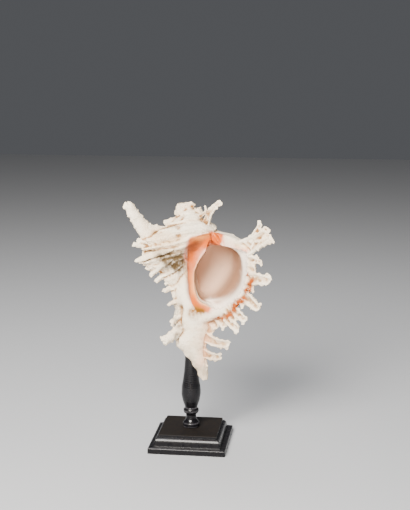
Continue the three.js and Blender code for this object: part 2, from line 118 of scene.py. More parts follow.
def closeGrid(grid):
    # A tube from a grid of rings (rings, points, 3): quads between rings, and a fan from the
    # middle of each end ring. Faces are turned out if the tube's volume came out negative.
    rings, count = grid.shape[:2]
    points = np.concatenate([grid.reshape(-1, 3), grid[:1].mean(1), grid[-1:].mean(1)])
    quads = gridFaces(rings, count)
    around = np.arange(count)
    after = (around + 1) % count
    last = (rings - 1) * count
    startCap = np.stack([after, around, np.full(count, rings * count)], 1)
    endCap = np.stack([last + around, last + after, np.full(count, rings * count + 1)], 1)
    tris = np.concatenate([startCap, endCap])
    allTris = np.concatenate([quads[:, [0, 1, 2]], quads[:, [0, 2, 3]], tris])
    a, b, c = (points[allTris[:, k]] for k in range(3))
    if np.einsum("ij,ij->i", a, np.cross(b, c)).sum() < 0:
        quads, tris = quads[:, ::-1], tris[:, ::-1]
    return points, quads, tris


def meshFrom(name, surfaces):
    # One mesh from several (points, quads, triangles), each shifted past the ones before it
    points, quads, tris, offset = [], [], [], 0
    for p, q, t in surfaces:
        points.append(p)
        quads.append(q + offset)
        tris.append(t + offset)
        offset += len(p)
    points, quads, tris = (np.concatenate(part) for part in (points, quads, tris))
    mesh = bpy.data.meshes.new(name)
    mesh.vertices.add(len(points))
    mesh.vertices.foreach_set("co", points.ravel())
    loops = np.concatenate([quads.ravel(), tris.ravel()]).astype(np.int32)
    mesh.loops.add(len(loops))
    mesh.loops.foreach_set("vertex_index", loops)
    starts = np.concatenate([np.arange(len(quads)) * 4, len(quads) * 4 + np.arange(len(tris)) * 3])
    mesh.polygons.add(len(starts))
    mesh.polygons.foreach_set("loop_start", starts.astype(np.int32))
    mesh.update(calc_edges=True)
    mesh.validate()
    return mesh


def pieceFrom(name, mesh):
    piece = bpy.data.objects.new(name, mesh)
    bpy.context.scene.collection.objects.link(piece)
    return piece


def settle(piece):
    # Applies the modifiers that are on the piece
    bpy.context.view_layer.update()
    seen = piece.evaluated_get(bpy.context.evaluated_depsgraph_get())
    mesh = bpy.data.meshes.new_from_object(seen)
    old = piece.data
    piece.modifiers.clear()
    piece.data = mesh
    mesh.name = old.name
    bpy.data.meshes.remove(old)


def readPoints(mesh):
    flat = np.empty(len(mesh.vertices) * 3)
    mesh.vertices.foreach_get("co", flat)
    return flat.reshape(-1, 3)


def writePoints(mesh, points):
    mesh.vertices.foreach_set("co", np.ascontiguousarray(points, dtype=float).ravel())
    mesh.update()


def readNormals(mesh):
    flat = np.empty(len(mesh.vertices) * 3)
    mesh.vertex_normals.foreach_get("vector", flat)
    return flat.reshape(-1, 3)


def readEdges(mesh):
    flat = np.empty(len(mesh.edges) * 2, dtype=np.int32)
    mesh.edges.foreach_get("vertices", flat)
    return flat.reshape(-1, 2)


def neighbourMean(values, edges, count):
    # Mean of each point's neighbours along the mesh's edges
    total = np.zeros((count,) + values.shape[1:])
    share = np.bincount(edges.ravel(), minlength=count)
    for a, b in ((0, 1), (1, 0)):
        for k in range(values.shape[1]):
            total[:, k] += np.bincount(edges[:, a], weights=values[edges[:, b], k], minlength=count)
    return total / np.maximum(share, 1)[:, None]


def shellTurn():
    # Rotation from the shell's frame to the object's: yaw about z, then lean about x, then roll about y
    yaw, lean, roll = (math.radians(shellPlace[k]) for k in ("yaw", "lean", "roll"))
    aboutZ = np.array([[math.cos(yaw), -math.sin(yaw), 0], [math.sin(yaw), math.cos(yaw), 0], [0, 0, 1]])
    aboutX = np.array([[1, 0, 0], [0, math.cos(lean), -math.sin(lean)], [0, math.sin(lean), math.cos(lean)]])
    aboutY = np.array([[math.cos(roll), 0, math.sin(roll)], [0, 1, 0], [-math.sin(roll), 0, math.cos(roll)]])
    return aboutZ @ aboutX @ aboutY


def shellToObject(points):
    return (points @ shellTurn().T + np.array(shellPlace["at"])) * mm


def atFrame(x, y, below):
    return np.stack(np.broadcast_arrays(x, y, shellPlace["apex"] - np.asarray(below, float)), -1)


def atPlane(angle, radius, below, lean=0.0):
    # A point in the plane through the axis at a plan angle, moved by lean toward growth
    return atFrame(radius * np.cos(angle) + lean * np.sin(angle),
                   radius * np.sin(angle) - lean * np.cos(angle), below)


# The coil
coil = dict(
    growthPerTurn=1.85, lipAngle=-35.0, turns=11 / 3, suture=33.0, pole=150.0,
    periphery=61.05, varixTail=28.0, varixFront=8.0, varixDrift=60.0,
    strength=((1.0, 1.0), (1.0, 1.0), (1.55, 0.75), (-0.15, 1.0)), strengthChange=(98.0, 114.0),
    nodeAt=60.0, nodeSpread=15.0, nodeRise=0.07, nodeBand=(42.0, 76.0),
    cordPitch=11.0, cordCrest=40.0, cordRise=1.5, cordRiseOnVarix=2.6, cordsEnd=(114.0, 134.0), cordDrift=8.0,
    threadRise=0.5, scaleRise=2.5, scalePitch=5.2, scaleReach=40.0,
    calmUnderLip=((-356, -346), (-298, -286), (54, 61)), calmBehindLip=((-32, -10), (52, 60)), calmSink=1.6,
    lipRoll=2.6, lipDraw=0.07, lipDrop=2.0, lumps=31.0, lumpRise=0.5,
    spireColumns=300, columns=620, shoulderRows=70, flankRows=160,
    rest=((36, 37), (40, 44.5), (45.5, 51.5), (51, 56), (56.5, 57.8), (61.05, 58), (67.5, 58), (78.5, 55.3),
          (89.5, 50), (100.5, 42.5), (111.5, 32.5), (122.5, 23), (135, 13), (145, 6)),
    varix=((36, 46), (40, 55), (45.5, 68), (51, 75.5), (56.5, 77.5), (61.05, 77.7), (70, 77.5), (85.5, 76),
           (97.8, 74), (103, 70.4), (112, 64), (122.7, 52), (133.6, 34), (142.5, 18), (146, 9)),
)
spiralRate = math.log(coil["growthPerTurn"]) / (2 * math.pi)
lipAngle = math.radians(coil["lipAngle"])


def growth(phi):
    # Size of the whorl at plan angle phi: the growth per turn to the power of phi in turns
    return np.exp(spiralRate * phi)


def varixSwell(phi, row):
    # Bell-shaped rise to each varix, 120 degrees apart: a long tail on its older side, a steep front
    back = -phi / np.pi * 180
    youngest = np.maximum(np.floor(back / 120 + 1e-9), 0).astype(int)
    behind = back - youngest * 120
    table = np.array(coil["strength"])
    lower = easeBetween(*coil["strengthChange"], row)
    pick = lambda n: table[np.minimum(n, len(table) - 1)]
    strong = lambda n: pick(n)[..., 0] * (1 - lower) + pick(n)[..., 1] * lower
    front = np.exp(-((120 - behind) / coil["varixFront"]) ** 2)
    tail = np.exp(-(behind / coil["varixTail"]) ** 2)
    drift = np.maximum(np.exp(-(behind / coil["varixDrift"]) ** 2), front)
    return np.maximum(strong(youngest) * tail, strong(youngest + 1) * front), behind, drift


def coilRadius(phi, row):
    # Radius before growth: the resting outline, raised toward the varix outline by the swell, plus
    # spiral cords (cosines down the rows, sharpened, drifting down toward each varix, each lane
    # uneven in its own way), finer threads, overlapping scales (a saw tooth along the growth) and
    # a knob between varices. The relief is calm under the inner lip and behind the lip's shoulder.
    rest = smoothThrough(*zip(*coil["rest"]), row.ravel()).reshape(row.shape)
    high = smoothThrough(*zip(*coil["varix"]), row.ravel()).reshape(row.shape)
    swell, behind, drift = varixSwell(phi, row)
    fade = 1 - easeBetween(*coil["cordsEnd"], row)
    turnNow = phi / np.pi * 180
    moved = row - coil["cordCrest"] - coil["cordDrift"] * drift * easeBetween(44, 66, row)
    moved = moved + 0.9 * np.sin(turnNow * 0.055 + row * 0.11)
    wave = 0.5 + 0.5 * np.cos(2 * np.pi * moved / coil["cordPitch"])
    lane = np.floor(moved / coil["cordPitch"] + 0.5)
    uneven = 0.66 + 0.22 * np.sin(turnNow * 0.19 + 2.2 * lane)
    uneven = uneven + 0.2 * np.sin(turnNow * 0.47 + 1.3 * lane + row * 0.2)
    cords = (2 * wave ** 1.7 - 0.85) * (coil["cordRise"] + coil["cordRiseOnVarix"] * swell) * fade * uneven
    between = 0.5 + 0.5 * np.cos(2 * np.pi * (moved / coil["cordPitch"] * 2 - 1))
    threads = np.cos(2 * np.pi * moved / (coil["cordPitch"] / 5)) * coil["threadRise"] + 0.35 * between ** 3
    saw = np.mod(turnNow / coil["scalePitch"] + 0.35 * np.sin(row * 0.31) + 0.2 * np.sin(row * 1.13), 1)
    nearVarix = 0.25 + np.exp(-(behind / coil["scaleReach"]) ** 2)
    scales = (saw ** 1.6 - 0.4) * coil["scaleRise"] * (0.35 + 1.1 * wave) * nearVarix
    begins, ends, rows = coil["calmUnderLip"]
    calm = easeBetween(*begins, turnNow) * (1 - easeBetween(*ends, turnNow)) * easeBetween(*rows, row)
    begins, rows = coil["calmBehindLip"]
    calm = np.maximum(calm, 0.8 * easeBetween(*begins, turnNow) * (1 - easeBetween(*rows, row)))
    low, top = coil["nodeBand"]
    band = easeBetween(low - 6, low + 6, row) * (1 - easeBetween(top - 6, top + 12, row))
    knob = coil["nodeRise"] * rest * band * np.exp(-((behind - coil["nodeAt"]) / coil["nodeSpread"]) ** 2)
    relief = cords + (threads + scales) * fade
    raised = rest + swell * (high - rest) + relief * (1 - calm)
    return raised - coil["calmSink"] * calm + knob * (0.6 + 0.8 * wave)


def coilSurface():
    # The coil as a closed sweep round the axis. Ring: from the axis out to the suture, down the
    # whorl's outline and back to the axis at the pole. Past the lip's plane the ring draws in by
    # 1 - sqrt(1 - s^2), which rounds the lip's edge.
    start = -coil["turns"] * 2 * np.pi
    ahead = math.radians(coil["lipRoll"])
    phi = np.concatenate([np.linspace(start, -2 * np.pi, coil["spireColumns"])[:-1],
                          -2 * np.pi * np.linspace(1, 0, coil["columns"] + 1) ** 1.05,
                          np.linspace(0, ahead, 7)[1:]])
    row = np.concatenate([np.linspace(coil["suture"], coil["periphery"], coil["shoulderRows"])[:-1],
                          np.linspace(coil["periphery"], coil["rest"][-1][0], coil["flankRows"])])
    phiGrid, rowGrid = np.meshgrid(phi, row, indexing="ij")
    atLip = np.minimum(phiGrid, 0)
    radius = coilRadius(atLip, rowGrid)
    # The suture is the whorl above at its periphery, so the rows near it are blended onto that
    above = coilRadius(atLip - 2 * np.pi, np.full_like(rowGrid, coil["periphery"])) / coil["growthPerTurn"]
    onto = 1 - easeBetween(coil["suture"], 40, rowGrid)
    radius = radius * (1 - onto) + (above + (rowGrid - coil["suture"]) * 1.6) * onto
    size = growth(atLip)
    draw = np.clip(phiGrid / ahead, 0, 1)
    roll = 1 - np.sqrt(1 - 0.98 * draw ** 2)
    radius = size * radius * (1 - coil["lipDraw"] * roll)
    blend = easeBetween(100, coil["pole"], rowGrid)
    below = size * rowGrid * (1 - blend) + rowGrid * blend
    below = below + coil["lipDrop"] * roll * (1 - easeBetween(40, 60, rowGrid))
    outer = atPlane(lipAngle - phiGrid, radius, below)
    outer = outer + wander(outer, coil["lumps"], 0.4)[..., None] * coil["lumpRise"]
    angle = lipAngle - phi[:, None]
    top = atPlane(angle, np.linspace(0.3, 0.9, 12) * radius[:, :1], below[:, :1] + np.zeros(12))
    bottom = atPlane(angle, np.array([4.0, 0.3]), np.array([148.0, coil["pole"]]))
    downAxis = np.linspace(0.96, 0.04, 10) * (coil["pole"] - below[:, :1]) + below[:, :1]
    axis = atPlane(angle, np.full(10, 0.3), downAxis)
    return closeGrid(np.concatenate([top, outer, bottom, axis], 1))


# Neck and siphonal canal: below apex, centre x, centre y, half width, half depth
neck = dict(
    sections=((74, -9, -4, 14, 15), (88, -9, -3, 18, 20), (100, -8, -1, 19, 23), (112, -6, 0, 20, 24),
              (122, -4, -1, 22, 21.5), (131, -4, -3.5, 22.5, 16.5), (140, -5, -5, 22, 11.5),
              (155, -9.5, -4.5, 18.5, 9), (170, -6.5, -3, 12.5, 7), (184, -1.8, -1.5, 8.2, 5),
              (195, 0.6, 0, 5.6, 3.4), (202.5, 1.6, 0.5, 3.4, 2)),
    slit=((120, 300), (128, 314), (140, 322), (155, 330), (175, 325), (196, 310)), slitDepth=1.3, slitWidth=6.5,
    crease=((112, 232), (126, 222), (142, 214), (158, 205)), creaseDepth=4.0, creaseWidth=9.0,
    rings=190, around=180, waveRise=0.13, ribRise=0.9,
)


def neckSurface():
    # Ovals stacked down to the tip: x = cx + hw cos t, y = cy + hd sin t, pressed in along the
    # slit and the crease by a bell-shaped groove, and roughened by low growth waves
    table = np.array(neck["sections"], float)
    below = np.linspace(table[0, 0], table[-1, 0], neck["rings"])
    cx, cy, halfWidth, halfDepth = (smoothThrough(table[:, 0], table[:, k], below)[:, None]
                                    for k in (1, 2, 3, 4))
    turn = np.linspace(0, 2 * np.pi, neck["around"], endpoint=False)[None, :]
    degrees = np.rad2deg(turn)
    press = np.zeros((len(below), turn.size))
    for line, depth, width in (("slit", "slitDepth", "slitWidth"), ("crease", "creaseDepth", "creaseWidth")):
        knots = np.array(neck[line], float)
        middle = smoothThrough(knots[:, 0], knots[:, 1], below)[:, None]
        there = easeBetween(knots[0, 0] - 4, knots[0, 0] + 6, below)
        there = there * (1 - easeBetween(knots[-1, 0] - 8, knots[-1, 0] + 3, below))
        press = press + neck[depth] * there[:, None] * np.exp(-((degrees - middle) / neck[width]) ** 2)
    bent = below[:, None] * 1.1 + 1.9 * np.sin(turn * 2) + 2 * np.sin(below[:, None] * 0.21)
    waves = neck["waveRise"] * np.sin(bent)
    waves = waves * easeBetween(112, 132, below)[:, None]
    left = np.maximum(0, np.cos(turn - np.pi)) ** 6
    ribs = neck["ribRise"] * left * np.sin(below[:, None] * 0.52) * easeBetween(90, 120, below)[:, None]
    grow = waves + ribs - press
    x = cx + (halfWidth + grow) * np.cos(turn)
    y = cy + (halfDepth + grow) * np.sin(turn)
    points = atFrame(x, y, below[:, None])
    return closeGrid(points + wander(points, 23.0, 2.2)[..., None] * 0.3)


# The inner lip: outer and inner edge of its band as x, y, below apex, and how far its middle
# stands forward
innerLip = dict(
    outer=((22, -24.8, 33.5), (10.5, -31.8, 34.5), (-1, -33.8, 37.5), (-5, -31.8, 47), (-5.8, -28.6, 58),
           (-6.8, -26, 70), (-7, -24.5, 82), (-6.8, -24, 96), (-5.6, -24, 110), (-1, -24.6, 118), (10, -25, 123)),
    inner=((24, -22, 46), (20, -25, 49.5), (15, -26.8, 55), (8.6, -27, 62.5), (3.8, -25.7, 71),
           (0.8, -25.5, 77), (0, -25.4, 84), (-0.2, -25.4, 94), (1.6, -25.4, 104.5), (6, -25.4, 111.5),
           (14.5, -25, 115.5)),
    crown=(0, -1.5, -2.2, -1, 0.8, 1.5, 1.8, 1.8, 1.8, 1.6, 1.0),
    rootShrink=0.45, rootY=-6.0,
)


def lipEdges(count):
    # The band's outer and inner edge and its forward rise, smooth through the stations
    stations = np.arange(len(innerLip["outer"]))
    along = np.linspace(0, stations[-1], count)
    return tuple(smoothThrough(stations, innerLip[part], along) for part in ("outer", "inner", "crown"))


def innerLipSurface():
    # A rounded band along the opening's inner edge: at each station a closed smooth ring through
    # outer edge, crown, inner edge and two roots in the pillar behind
    outer, inner, rise = lipEdges(170)
    toward = np.array([0, -1.0, 0])
    crown = (outer + inner) / 2 + toward * rise[:, None]
    shoulder = outer * 0.82 + inner * 0.18 + toward * (rise[:, None] * 0.6 + 0.25)
    edge = outer * 0.12 + inner * 0.88 + toward * (np.maximum(rise[:, None], 0) * 0.45 + 0.7)

    def root(p, pull):
        return np.stack([p[:, 0] * innerLip["rootShrink"] + pull, np.full(len(p), innerLip["rootY"]), p[:, 2]], 1)

    corners = np.stack([outer, shoulder, crown, edge, inner, root(inner, 2), root(outer, -4)], 1)
    rings = np.stack([smoothRing(c, 56) for c in corners])
    return closeGrid(atFrame(rings[..., 0], rings[..., 1], rings[..., 2]))


# Smooth callus that joins the neck to the foot of the outer lip: centre line and half sizes
callus = dict(line=((2, -15, 128), (10, -18, 124), (20, -20, 121.5), (30, -21.5, 119.5), (38, -22.5, 118)),
              half=((9, 6), (11, 7), (11, 6.5), (8, 5.5), (4, 3)))


def callusSurface():
    # Ovals along the line: up and forward, c + h cos t up + d sin t forward
    knots = np.arange(len(callus["line"]))
    along = np.linspace(0, knots[-1], 60)
    line, half = smoothThrough(knots, callus["line"], along), smoothThrough(knots, callus["half"], along)
    turn = np.linspace(0, 2 * np.pi, 60, endpoint=False)
    closing = np.sqrt(np.clip(1 - (np.abs(along / knots[-1] - 0.5) * 2) ** 6, 0.02, 1))
    x = line[:, :1] + 0 * turn
    y = line[:, 1:2] + half[:, 1:] * closing[:, None] * np.sin(turn)
    below = line[:, 2:] + half[:, :1] * closing[:, None] * np.cos(turn)
    return closeGrid(atFrame(x, y, below))


# The hollow, as in the frame: rim and throat in the lip's plane as radius, below apex; on the
# inner lip as x, y, below apex; sections further in as radius, below apex of the last whorl
hollow = dict(
    rimOnLip=((26, 42), (36, 47.5), (49, 51), (63, 54.5), (74, 59.5), (73.5, 74), (71, 86), (66, 98), (57, 108),
              (43, 117), (26, 120.5)),
    rimOnInnerLip=((7.5, -27, 110.5), (1.3, -27, 98), (0.2, -27.5, 82), (4.6, -28, 68), (14, -28.5, 56)),
    throatOnLip=((24, 49), (34, 48.4), (46, 50), (58, 55), (66, 63), (67.8, 76), (66, 87), (61.5, 97.5),
                 (52, 106.5), (39, 112), (24, 114.5)),
    throatOnInnerLip=((7.5, -23, 110.5), (1.3, -23, 98), (0.2, -23, 82), (4.2, -23.5, 68), (13, -24, 56.5)),
    throatDepth=8.0,
    whorl=((29, 44), (37, 43), (45, 45.5), (50.5, 51), (52.5, 59), (52.5, 70), (49.5, 82), (43, 94), (34, 105),
           (23, 113), (12, 115), (6, 108), (4, 96), (4, 84), (9, 71), (17, 57)),
    nearWhorl=((27, 46), (37, 44), (45, 46), (51, 51.5), (54, 59.5), (54.5, 71), (52, 83), (46, 95), (37, 105.5),
               (25, 113), (11, 114.5), (3, 108), (0.5, 96), (0.5, 84), (3.5, 71), (11, 57)),
    nearAngle=22, angles=(50, 75, 100, 130, 165, 195), endAngle=212, endShrink=0.6, endCentre=(24, 80),
    reach=45.0, scallop=0.7, scallops=34, around=320,
)


def hollowSurface():
    # The cutter for the hollow: smooth rings well in front of the rim, at the rim, at the throat
    # and at plan angles back round the axis, joined by monotone cubics from ring to ring. The rim
    # is scalloped by a sine along it on the outer lip.
    def onLip(line, depth):
        p = np.array(line, float)
        out = atPlane(lipAngle, p[:, 0], p[:, 1])
        out[:, 1] += depth
        return out

    def onInner(line):
        p = np.array(line, float)
        return atFrame(p[:, 0], p[:, 1], p[:, 2])

    rim = np.concatenate([onLip(hollow["rimOnLip"], -1), onInner(hollow["rimOnInnerLip"])])
    throat = np.concatenate([onLip(hollow["throatOnLip"], hollow["throatDepth"]),
                             onInner(hollow["throatOnInnerLip"])])
    middle = (rim + throat) / 2 + np.array([0, 1.2, 0])
    whorl = np.array(hollow["whorl"], float)
    centre = np.array(hollow["endCentre"], float)

    def section(angle, shrink, outline=whorl):
        p = (centre + (outline - centre) * shrink) * growth(-math.radians(angle))
        return atPlane(lipAngle + math.radians(angle), p[:, 0], p[:, 1])

    front = rim - np.array([0, hollow["reach"], 0])
    inside = [section(hollow["nearAngle"], 1.0, np.array(hollow["nearWhorl"], float))]
    inside += [section(a, 1.0) for a in hollow["angles"]] + [section(hollow["endAngle"], hollow["endShrink"])]
    keyRings = np.stack([smoothRing(r, hollow["around"]) for r in [front, rim, middle, throat] + inside])
    turn = np.arange(hollow["around"]) / hollow["around"]
    onOuter = easeBetween(0.14, 0.22, turn) * (1 - easeBetween(0.6, 0.68, turn))
    wave = np.sin(turn * 2 * np.pi * hollow["scallops"] + 1.5 * np.sin(turn * 40)) * hollow["scallop"] * onOuter
    outward = keyRings[1] - keyRings[1].mean(0)
    outward /= np.linalg.norm(outward, axis=1, keepdims=True)
    keyRings[:2] += (outward * wave[:, None])[None]
    gaps = np.linalg.norm(np.diff(keyRings, axis=0), axis=2).mean(1)
    knots = np.concatenate([[0], np.cumsum(gaps)])
    along = np.concatenate([[0], np.linspace(knots[1], knots[3], 12), np.linspace(knots[3], knots[-1], 110)[1:]])
    flat = smoothThrough(knots, keyRings.reshape(len(knots), -1), along)
    return closeGrid(flat.reshape(len(along), -1, 3))


# Spines in each varix's own plane: root and tip as radius, below apex; half widths at both ends;
# how far the middle sags, and how far the tip leans toward growth
spines = dict(
    lip=(
        ((66, 57), (110, 39.5), (13.5, 7.0), 1, 3), ((78, 52), (98.3, 25), (7.5, 1.9), 1.5, 0),
        ((84, 52), (107, 32), (7, 3), 1, 2), ((90, 52), (113.5, 45.5), (6, 3), 0, 4),
        ((60, 66), (89, 70), (9, 5), 0, 1), ((70, 66), (97, 71), (6.5, 1.9), 0, 3),
        ((62, 76), (87, 80), (9, 5), 0, 2),
        ((64, 86), (107.5, 92.6), (11.5, 4.4), -1, 4), ((98, 90), (101.5, 82.5), (3, 1.3), 0, 4),
        ((64, 93), (82, 99), (7, 3), 0, 2), ((58, 99), (90, 123.5), (10, 4.4), 1, 5),
        ((56, 104), (68, 118.5), (6, 2.6), 0, 4), ((42, 112), (70, 136.6), (6.8, 3.8), 1, 4),
        ((38, 112), (53.5, 137), (9, 4), 0, 3), ((32, 122), (59, 147), (6.5, 4), 1, 4),
        ((24, 120), (40, 143), (8.5, 4), 0, 2), ((14, 124), (28, 143.5), (8, 4.5), 0, 1),
        ((8, 128), (20, 150), (8, 4), 0, 1),
        ((4, 148), (46, 160), (8, 3.9), 9, 4), ((0, 167), (32, 174.6), (7, 3.3), 7, 3),
        ((0, 183), (9.5, 186.5), (3.4, 1), 0, 1),
    ),
    left=(
        ((48, 34), (75.6, -11.5), (13, 4.6), 3.5, 0), ((28, 33), (57, 22), (12, 6.5), 1, 0),
        ((50, 39), (68, 33.6), (4, 1.4), 0, 0),
        ((50, 45), (73.5, 38.5), (4.5, 2), 0, 0), ((46, 60), (69.5, 58.5), (4.8, 2.6), 0, -2),
        ((38, 66), (56.5, 77), (4.4, 2.2), 0, -3), ((30, 74), (51, 84), (4.4, 2.2), 0, -3),
        ((20, 90), (42.3, 95.5), (4.6, 2.4), 0, -3), ((20, 106), (37, 111.5), (4.6, 1.6), 0, -2),
        ((16, 121), (36.5, 133), (5.4, 2.2), 0, -2), ((14, 132), (50.5, 153), (8, 4.8), 5, -4),
    ),
    back=(
        ((66, 54), (97, 10), (10, 4), 4, 0), ((68, 66), (92, 66), (4.5, 1.8), 0, 2),
        ((66, 80), (100, 84), (5.5, 3), 2, 2), ((64, 92), (84, 99), (4, 1.6), 0, 1),
        ((58, 100), (86, 118), (5.5, 3), 2, 2), ((46, 112), (66, 132), (5, 2.4), 2, 2),
        ((34, 121), (50, 142), (4.6, 2), 2, 2),
    ),
    spire=(
        (3, ((41, 50), (93, -1), (12, 4.4), -20, 4)), (3, ((46, 36), (46, 2), (6, 2.0), 0, 3)),
        (4, ((48, 52), (82, 22), (9, 4), 2, 0)), (5, ((56, 58), (90, 47), (9, 4), 2, 0)),
        (6, ((52, 50), (84, 30), (10, 5), 2, 0)), (7, ((50, 50), (84, 24), (12, 6), 2, 0)),
    ),
    wornTip=(  # start, end and half widths of the blunt blades at the apex
        ((6, 3, 12), (-16, -3, 3.2), (9, 6.5)), ((-4, 2, 9), (-4.5, 0, -4), (9, 8)),
        ((-2, 0, 8), (7, -2, -3), (7, 2.6)), ((-2, 2, 17), (-31, -2, 19), (11, 3.4)),
        ((12, 0, 14), (9, -1, 4), (8, 5)),
    ),
    ribs=(  # paths and half widths of the ridges on the left flank, and of the fold in the lip's top corner
        (((-65, -30, 58.5), (-54, -33, 55.5), (-45, -34.5, 53), (-31, -36, 50.5), (-19, -36.5, 48.5)),
         (2.2, 3.4, 3.4, 2.8, 1.4)),
        (((-50, -23.5, 76.5), (-42, -26.2, 70), (-32.6, -32.6, 64), (-22, -33, 60)), (2.2, 3.4, 3.0, 1.4)),
        (((-45.5, -21.5, 83.5), (-34.3, -19.5, 76.4), (-24, -23, 72.5), (-14, -24.5, 69)),
         (2.4, 3.3, 3.0, 1.4)),
        (((-38, -17.9, 95.3), (-26.3, -15.5, 92.5), (-17.3, -18.3, 89), (-12, -20, 87)), (2.3, 3.1, 2.8, 1.4)),
        (((-33.5, -15.6, 111.5), (-25, -14, 108.5), (-17, -17, 105), (-13, -19, 103)), (2.0, 2.8, 2.5, 1.4)),
        (((26, -26, 33.5), (28.5, -26.5, 38), (31, -26.5, 43), (34, -27, 48.5)), (1.6, 2.4, 2.4, 1.4)),
    ),
    around=30, along=44, channel=0.5, frill=0.22, frillPitch=5.4, tipFlare=0.2, flareUnder=3.3,
    rimAt=0.8, rimSpread=0.22, thickness=(3.0, 0.38), fork=0.055, slant=0.03, nick=0.012,
    toothAt=(0.5, 0.66, 0.84), toothFrom=4.9, tooth=(2.8, 1.5), scale=(2.7, 1.5), roughness=0.25,
)


def spineSurface(root, middle, tip, half, growthWay, seed):
    # A channelled blade along the bowed path (1-t)^2 root + 2t(1-t) middle + t^2 tip. Its section
    # at angle a is x = w cos a, with a round back -sqrt(1-x^2) and a front that dips between two
    # raised rims. Width w runs from root to tip with the square root of t, flares at the tip and is
    # frilled by a sine. Thickness is w, or 3 + 0.38 w where that is less. The tip is drawn to
    # uneven points round the section.
    t = np.linspace(0, 1, spines["along"])[:, None]
    turn = np.linspace(0, 2 * np.pi, spines["around"], endpoint=False)[None, :]
    centre = (1 - t) ** 2 * root + 2 * t * (1 - t) * middle + t * t * tip
    ahead = 2 * (1 - t) * (middle - root) + 2 * t * (tip - middle)
    length = np.linalg.norm(tip - root)
    ahead /= np.linalg.norm(ahead, axis=1, keepdims=True)
    across = np.cross(ahead, growthWay)
    across /= np.linalg.norm(across, axis=1, keepdims=True)
    facing = np.cross(across, ahead)
    x = np.cos(turn)
    side = np.sign(x)
    width = half[0] + (half[1] - half[0]) * np.sqrt(t)
    flare = 1 + spines["tipFlare"] * easeBetween(0.72, 0.98, t) * (half[1] < spines["flareUnder"])
    frill = spines["frill"] * np.maximum(0, np.sin(length * 0.75 * t + seed + 1.9 * side)) ** 2
    frill = 1 + frill * np.abs(x) ** 3 * easeBetween(0.25, 0.5, t)
    close = np.sqrt(np.clip(1 - easeBetween(0.93, 1.0, t) * 0.92, 0.02, 1))
    u = width * x * flare * frill * close
    roundness = np.sqrt(np.clip(1 - x * x, 0, 1))
    rims = np.exp(-((np.abs(x) - spines["rimAt"]) / spines["rimSpread"]) ** 2)
    front = 0.42 * rims - 0.62 * spines["channel"] * (1 - x * x) * easeBetween(0.05, 0.3, t) + 0.12
    back = -0.85 * roundness + 0.12 * rims
    least, share = spines["thickness"]
    thick = np.minimum(width, least + share * width)
    v = np.where(np.sin(turn) > 0, back, front + 0.25 * roundness) * thick * close
    fork = (np.abs(x) ** 1.4 - 1) * spines["fork"] + spines["slant"] * (x * np.sin(seed * 3.1) - 1)
    fork = fork + spines["nick"] * (np.cos(5 * turn + seed) - 1)
    jag = fork * length * easeBetween(0.78, 1.0, t)
    points = (centre[:, None, :] + across[:, None, :] * u[..., None] + facing[:, None, :] * v[..., None]
              + ahead[:, None, :] * jag[..., None])
    return closeGrid(points + wander(points, 11.0, seed)[..., None] * spines["roughness"])


def varixSpines(varix, entries, size, seed):
    # Each spine of a varix, with small teeth along both edges of the broad ones
    angle = lipAngle + math.radians(120 * varix)
    growthWay = atPlane(angle, 0, shellPlace["apex"], 1)
    made = []
    for k, (root, tip, half, sag, lean) in enumerate(entries):
        start = atPlane(angle, root[0] * size, root[1] * size)
        end = atPlane(angle, tip[0] * size, tip[1] * size, lean * size)
        way = (end - start) / np.linalg.norm(end - start)
        down = np.cross(way, growthWay)
        middle = (start + end) / 2 + down * sag * size
        wide = [h * size for h in half]
        made.append(spineSurface(start, middle, end, wide, growthWay, seed + k * 1.31))
        if half[0] * size < spines["toothFrom"]:
            continue
        for m, t in enumerate(spines["toothAt"]):
            at = (1 - t) ** 2 * start + 2 * t * (1 - t) * middle + t * t * end
            edge = wide[0] + (wide[1] - wide[0]) * math.sqrt(t)
            side = 1 if (k + m) % 3 else -1
            foot = at + down * edge * 0.5 * side
            point = at + (down * (edge + 1.2 + 0.4 * m) * side + way * (1.6 + m) + growthWay * 0.8)
            made.append(spineSurface(foot, (foot + point) / 2, point, spines["tooth"], growthWay,
                                     seed + k + m * 0.7))
    return made


def edgeFrills(varix, seed):
    # Short scales along a varix's edge: each stands on the outline and points along its normal,
    # (d below, -d radius) for a step down the rows
    phi = -2 * np.pi / 3 * varix
    size = float(growth(phi))
    rows = np.arange(46, 133, spines["frillPitch"])
    radius = size * coilRadius(np.full(rows.shape, phi), rows)
    blend = easeBetween(100, coil["pole"], rows)
    below = size * rows * (1 - blend) + rows * blend
    normal = np.stack([np.gradient(below), -np.gradient(radius)], 1)
    normal /= np.linalg.norm(normal, axis=1, keepdims=True)
    angle = lipAngle - phi
    growthWay = atPlane(angle, 0, shellPlace["apex"], 1)
    made = []
    for k in range(len(rows)):
        reach = (3.2 + 1.6 * math.sin(k * 2.4 + seed)) * (0.4 + 0.6 * size)
        edge = np.array([radius[k], below[k]])
        start = atPlane(angle, *(edge - normal[k] * 3), -0.6)
        point = atPlane(angle, *(edge + normal[k] * reach), 1.2)
        made.append(spineSurface(start, (start + point) / 2, point, spines["scale"], growthWay, seed + k * 0.9))
    return made


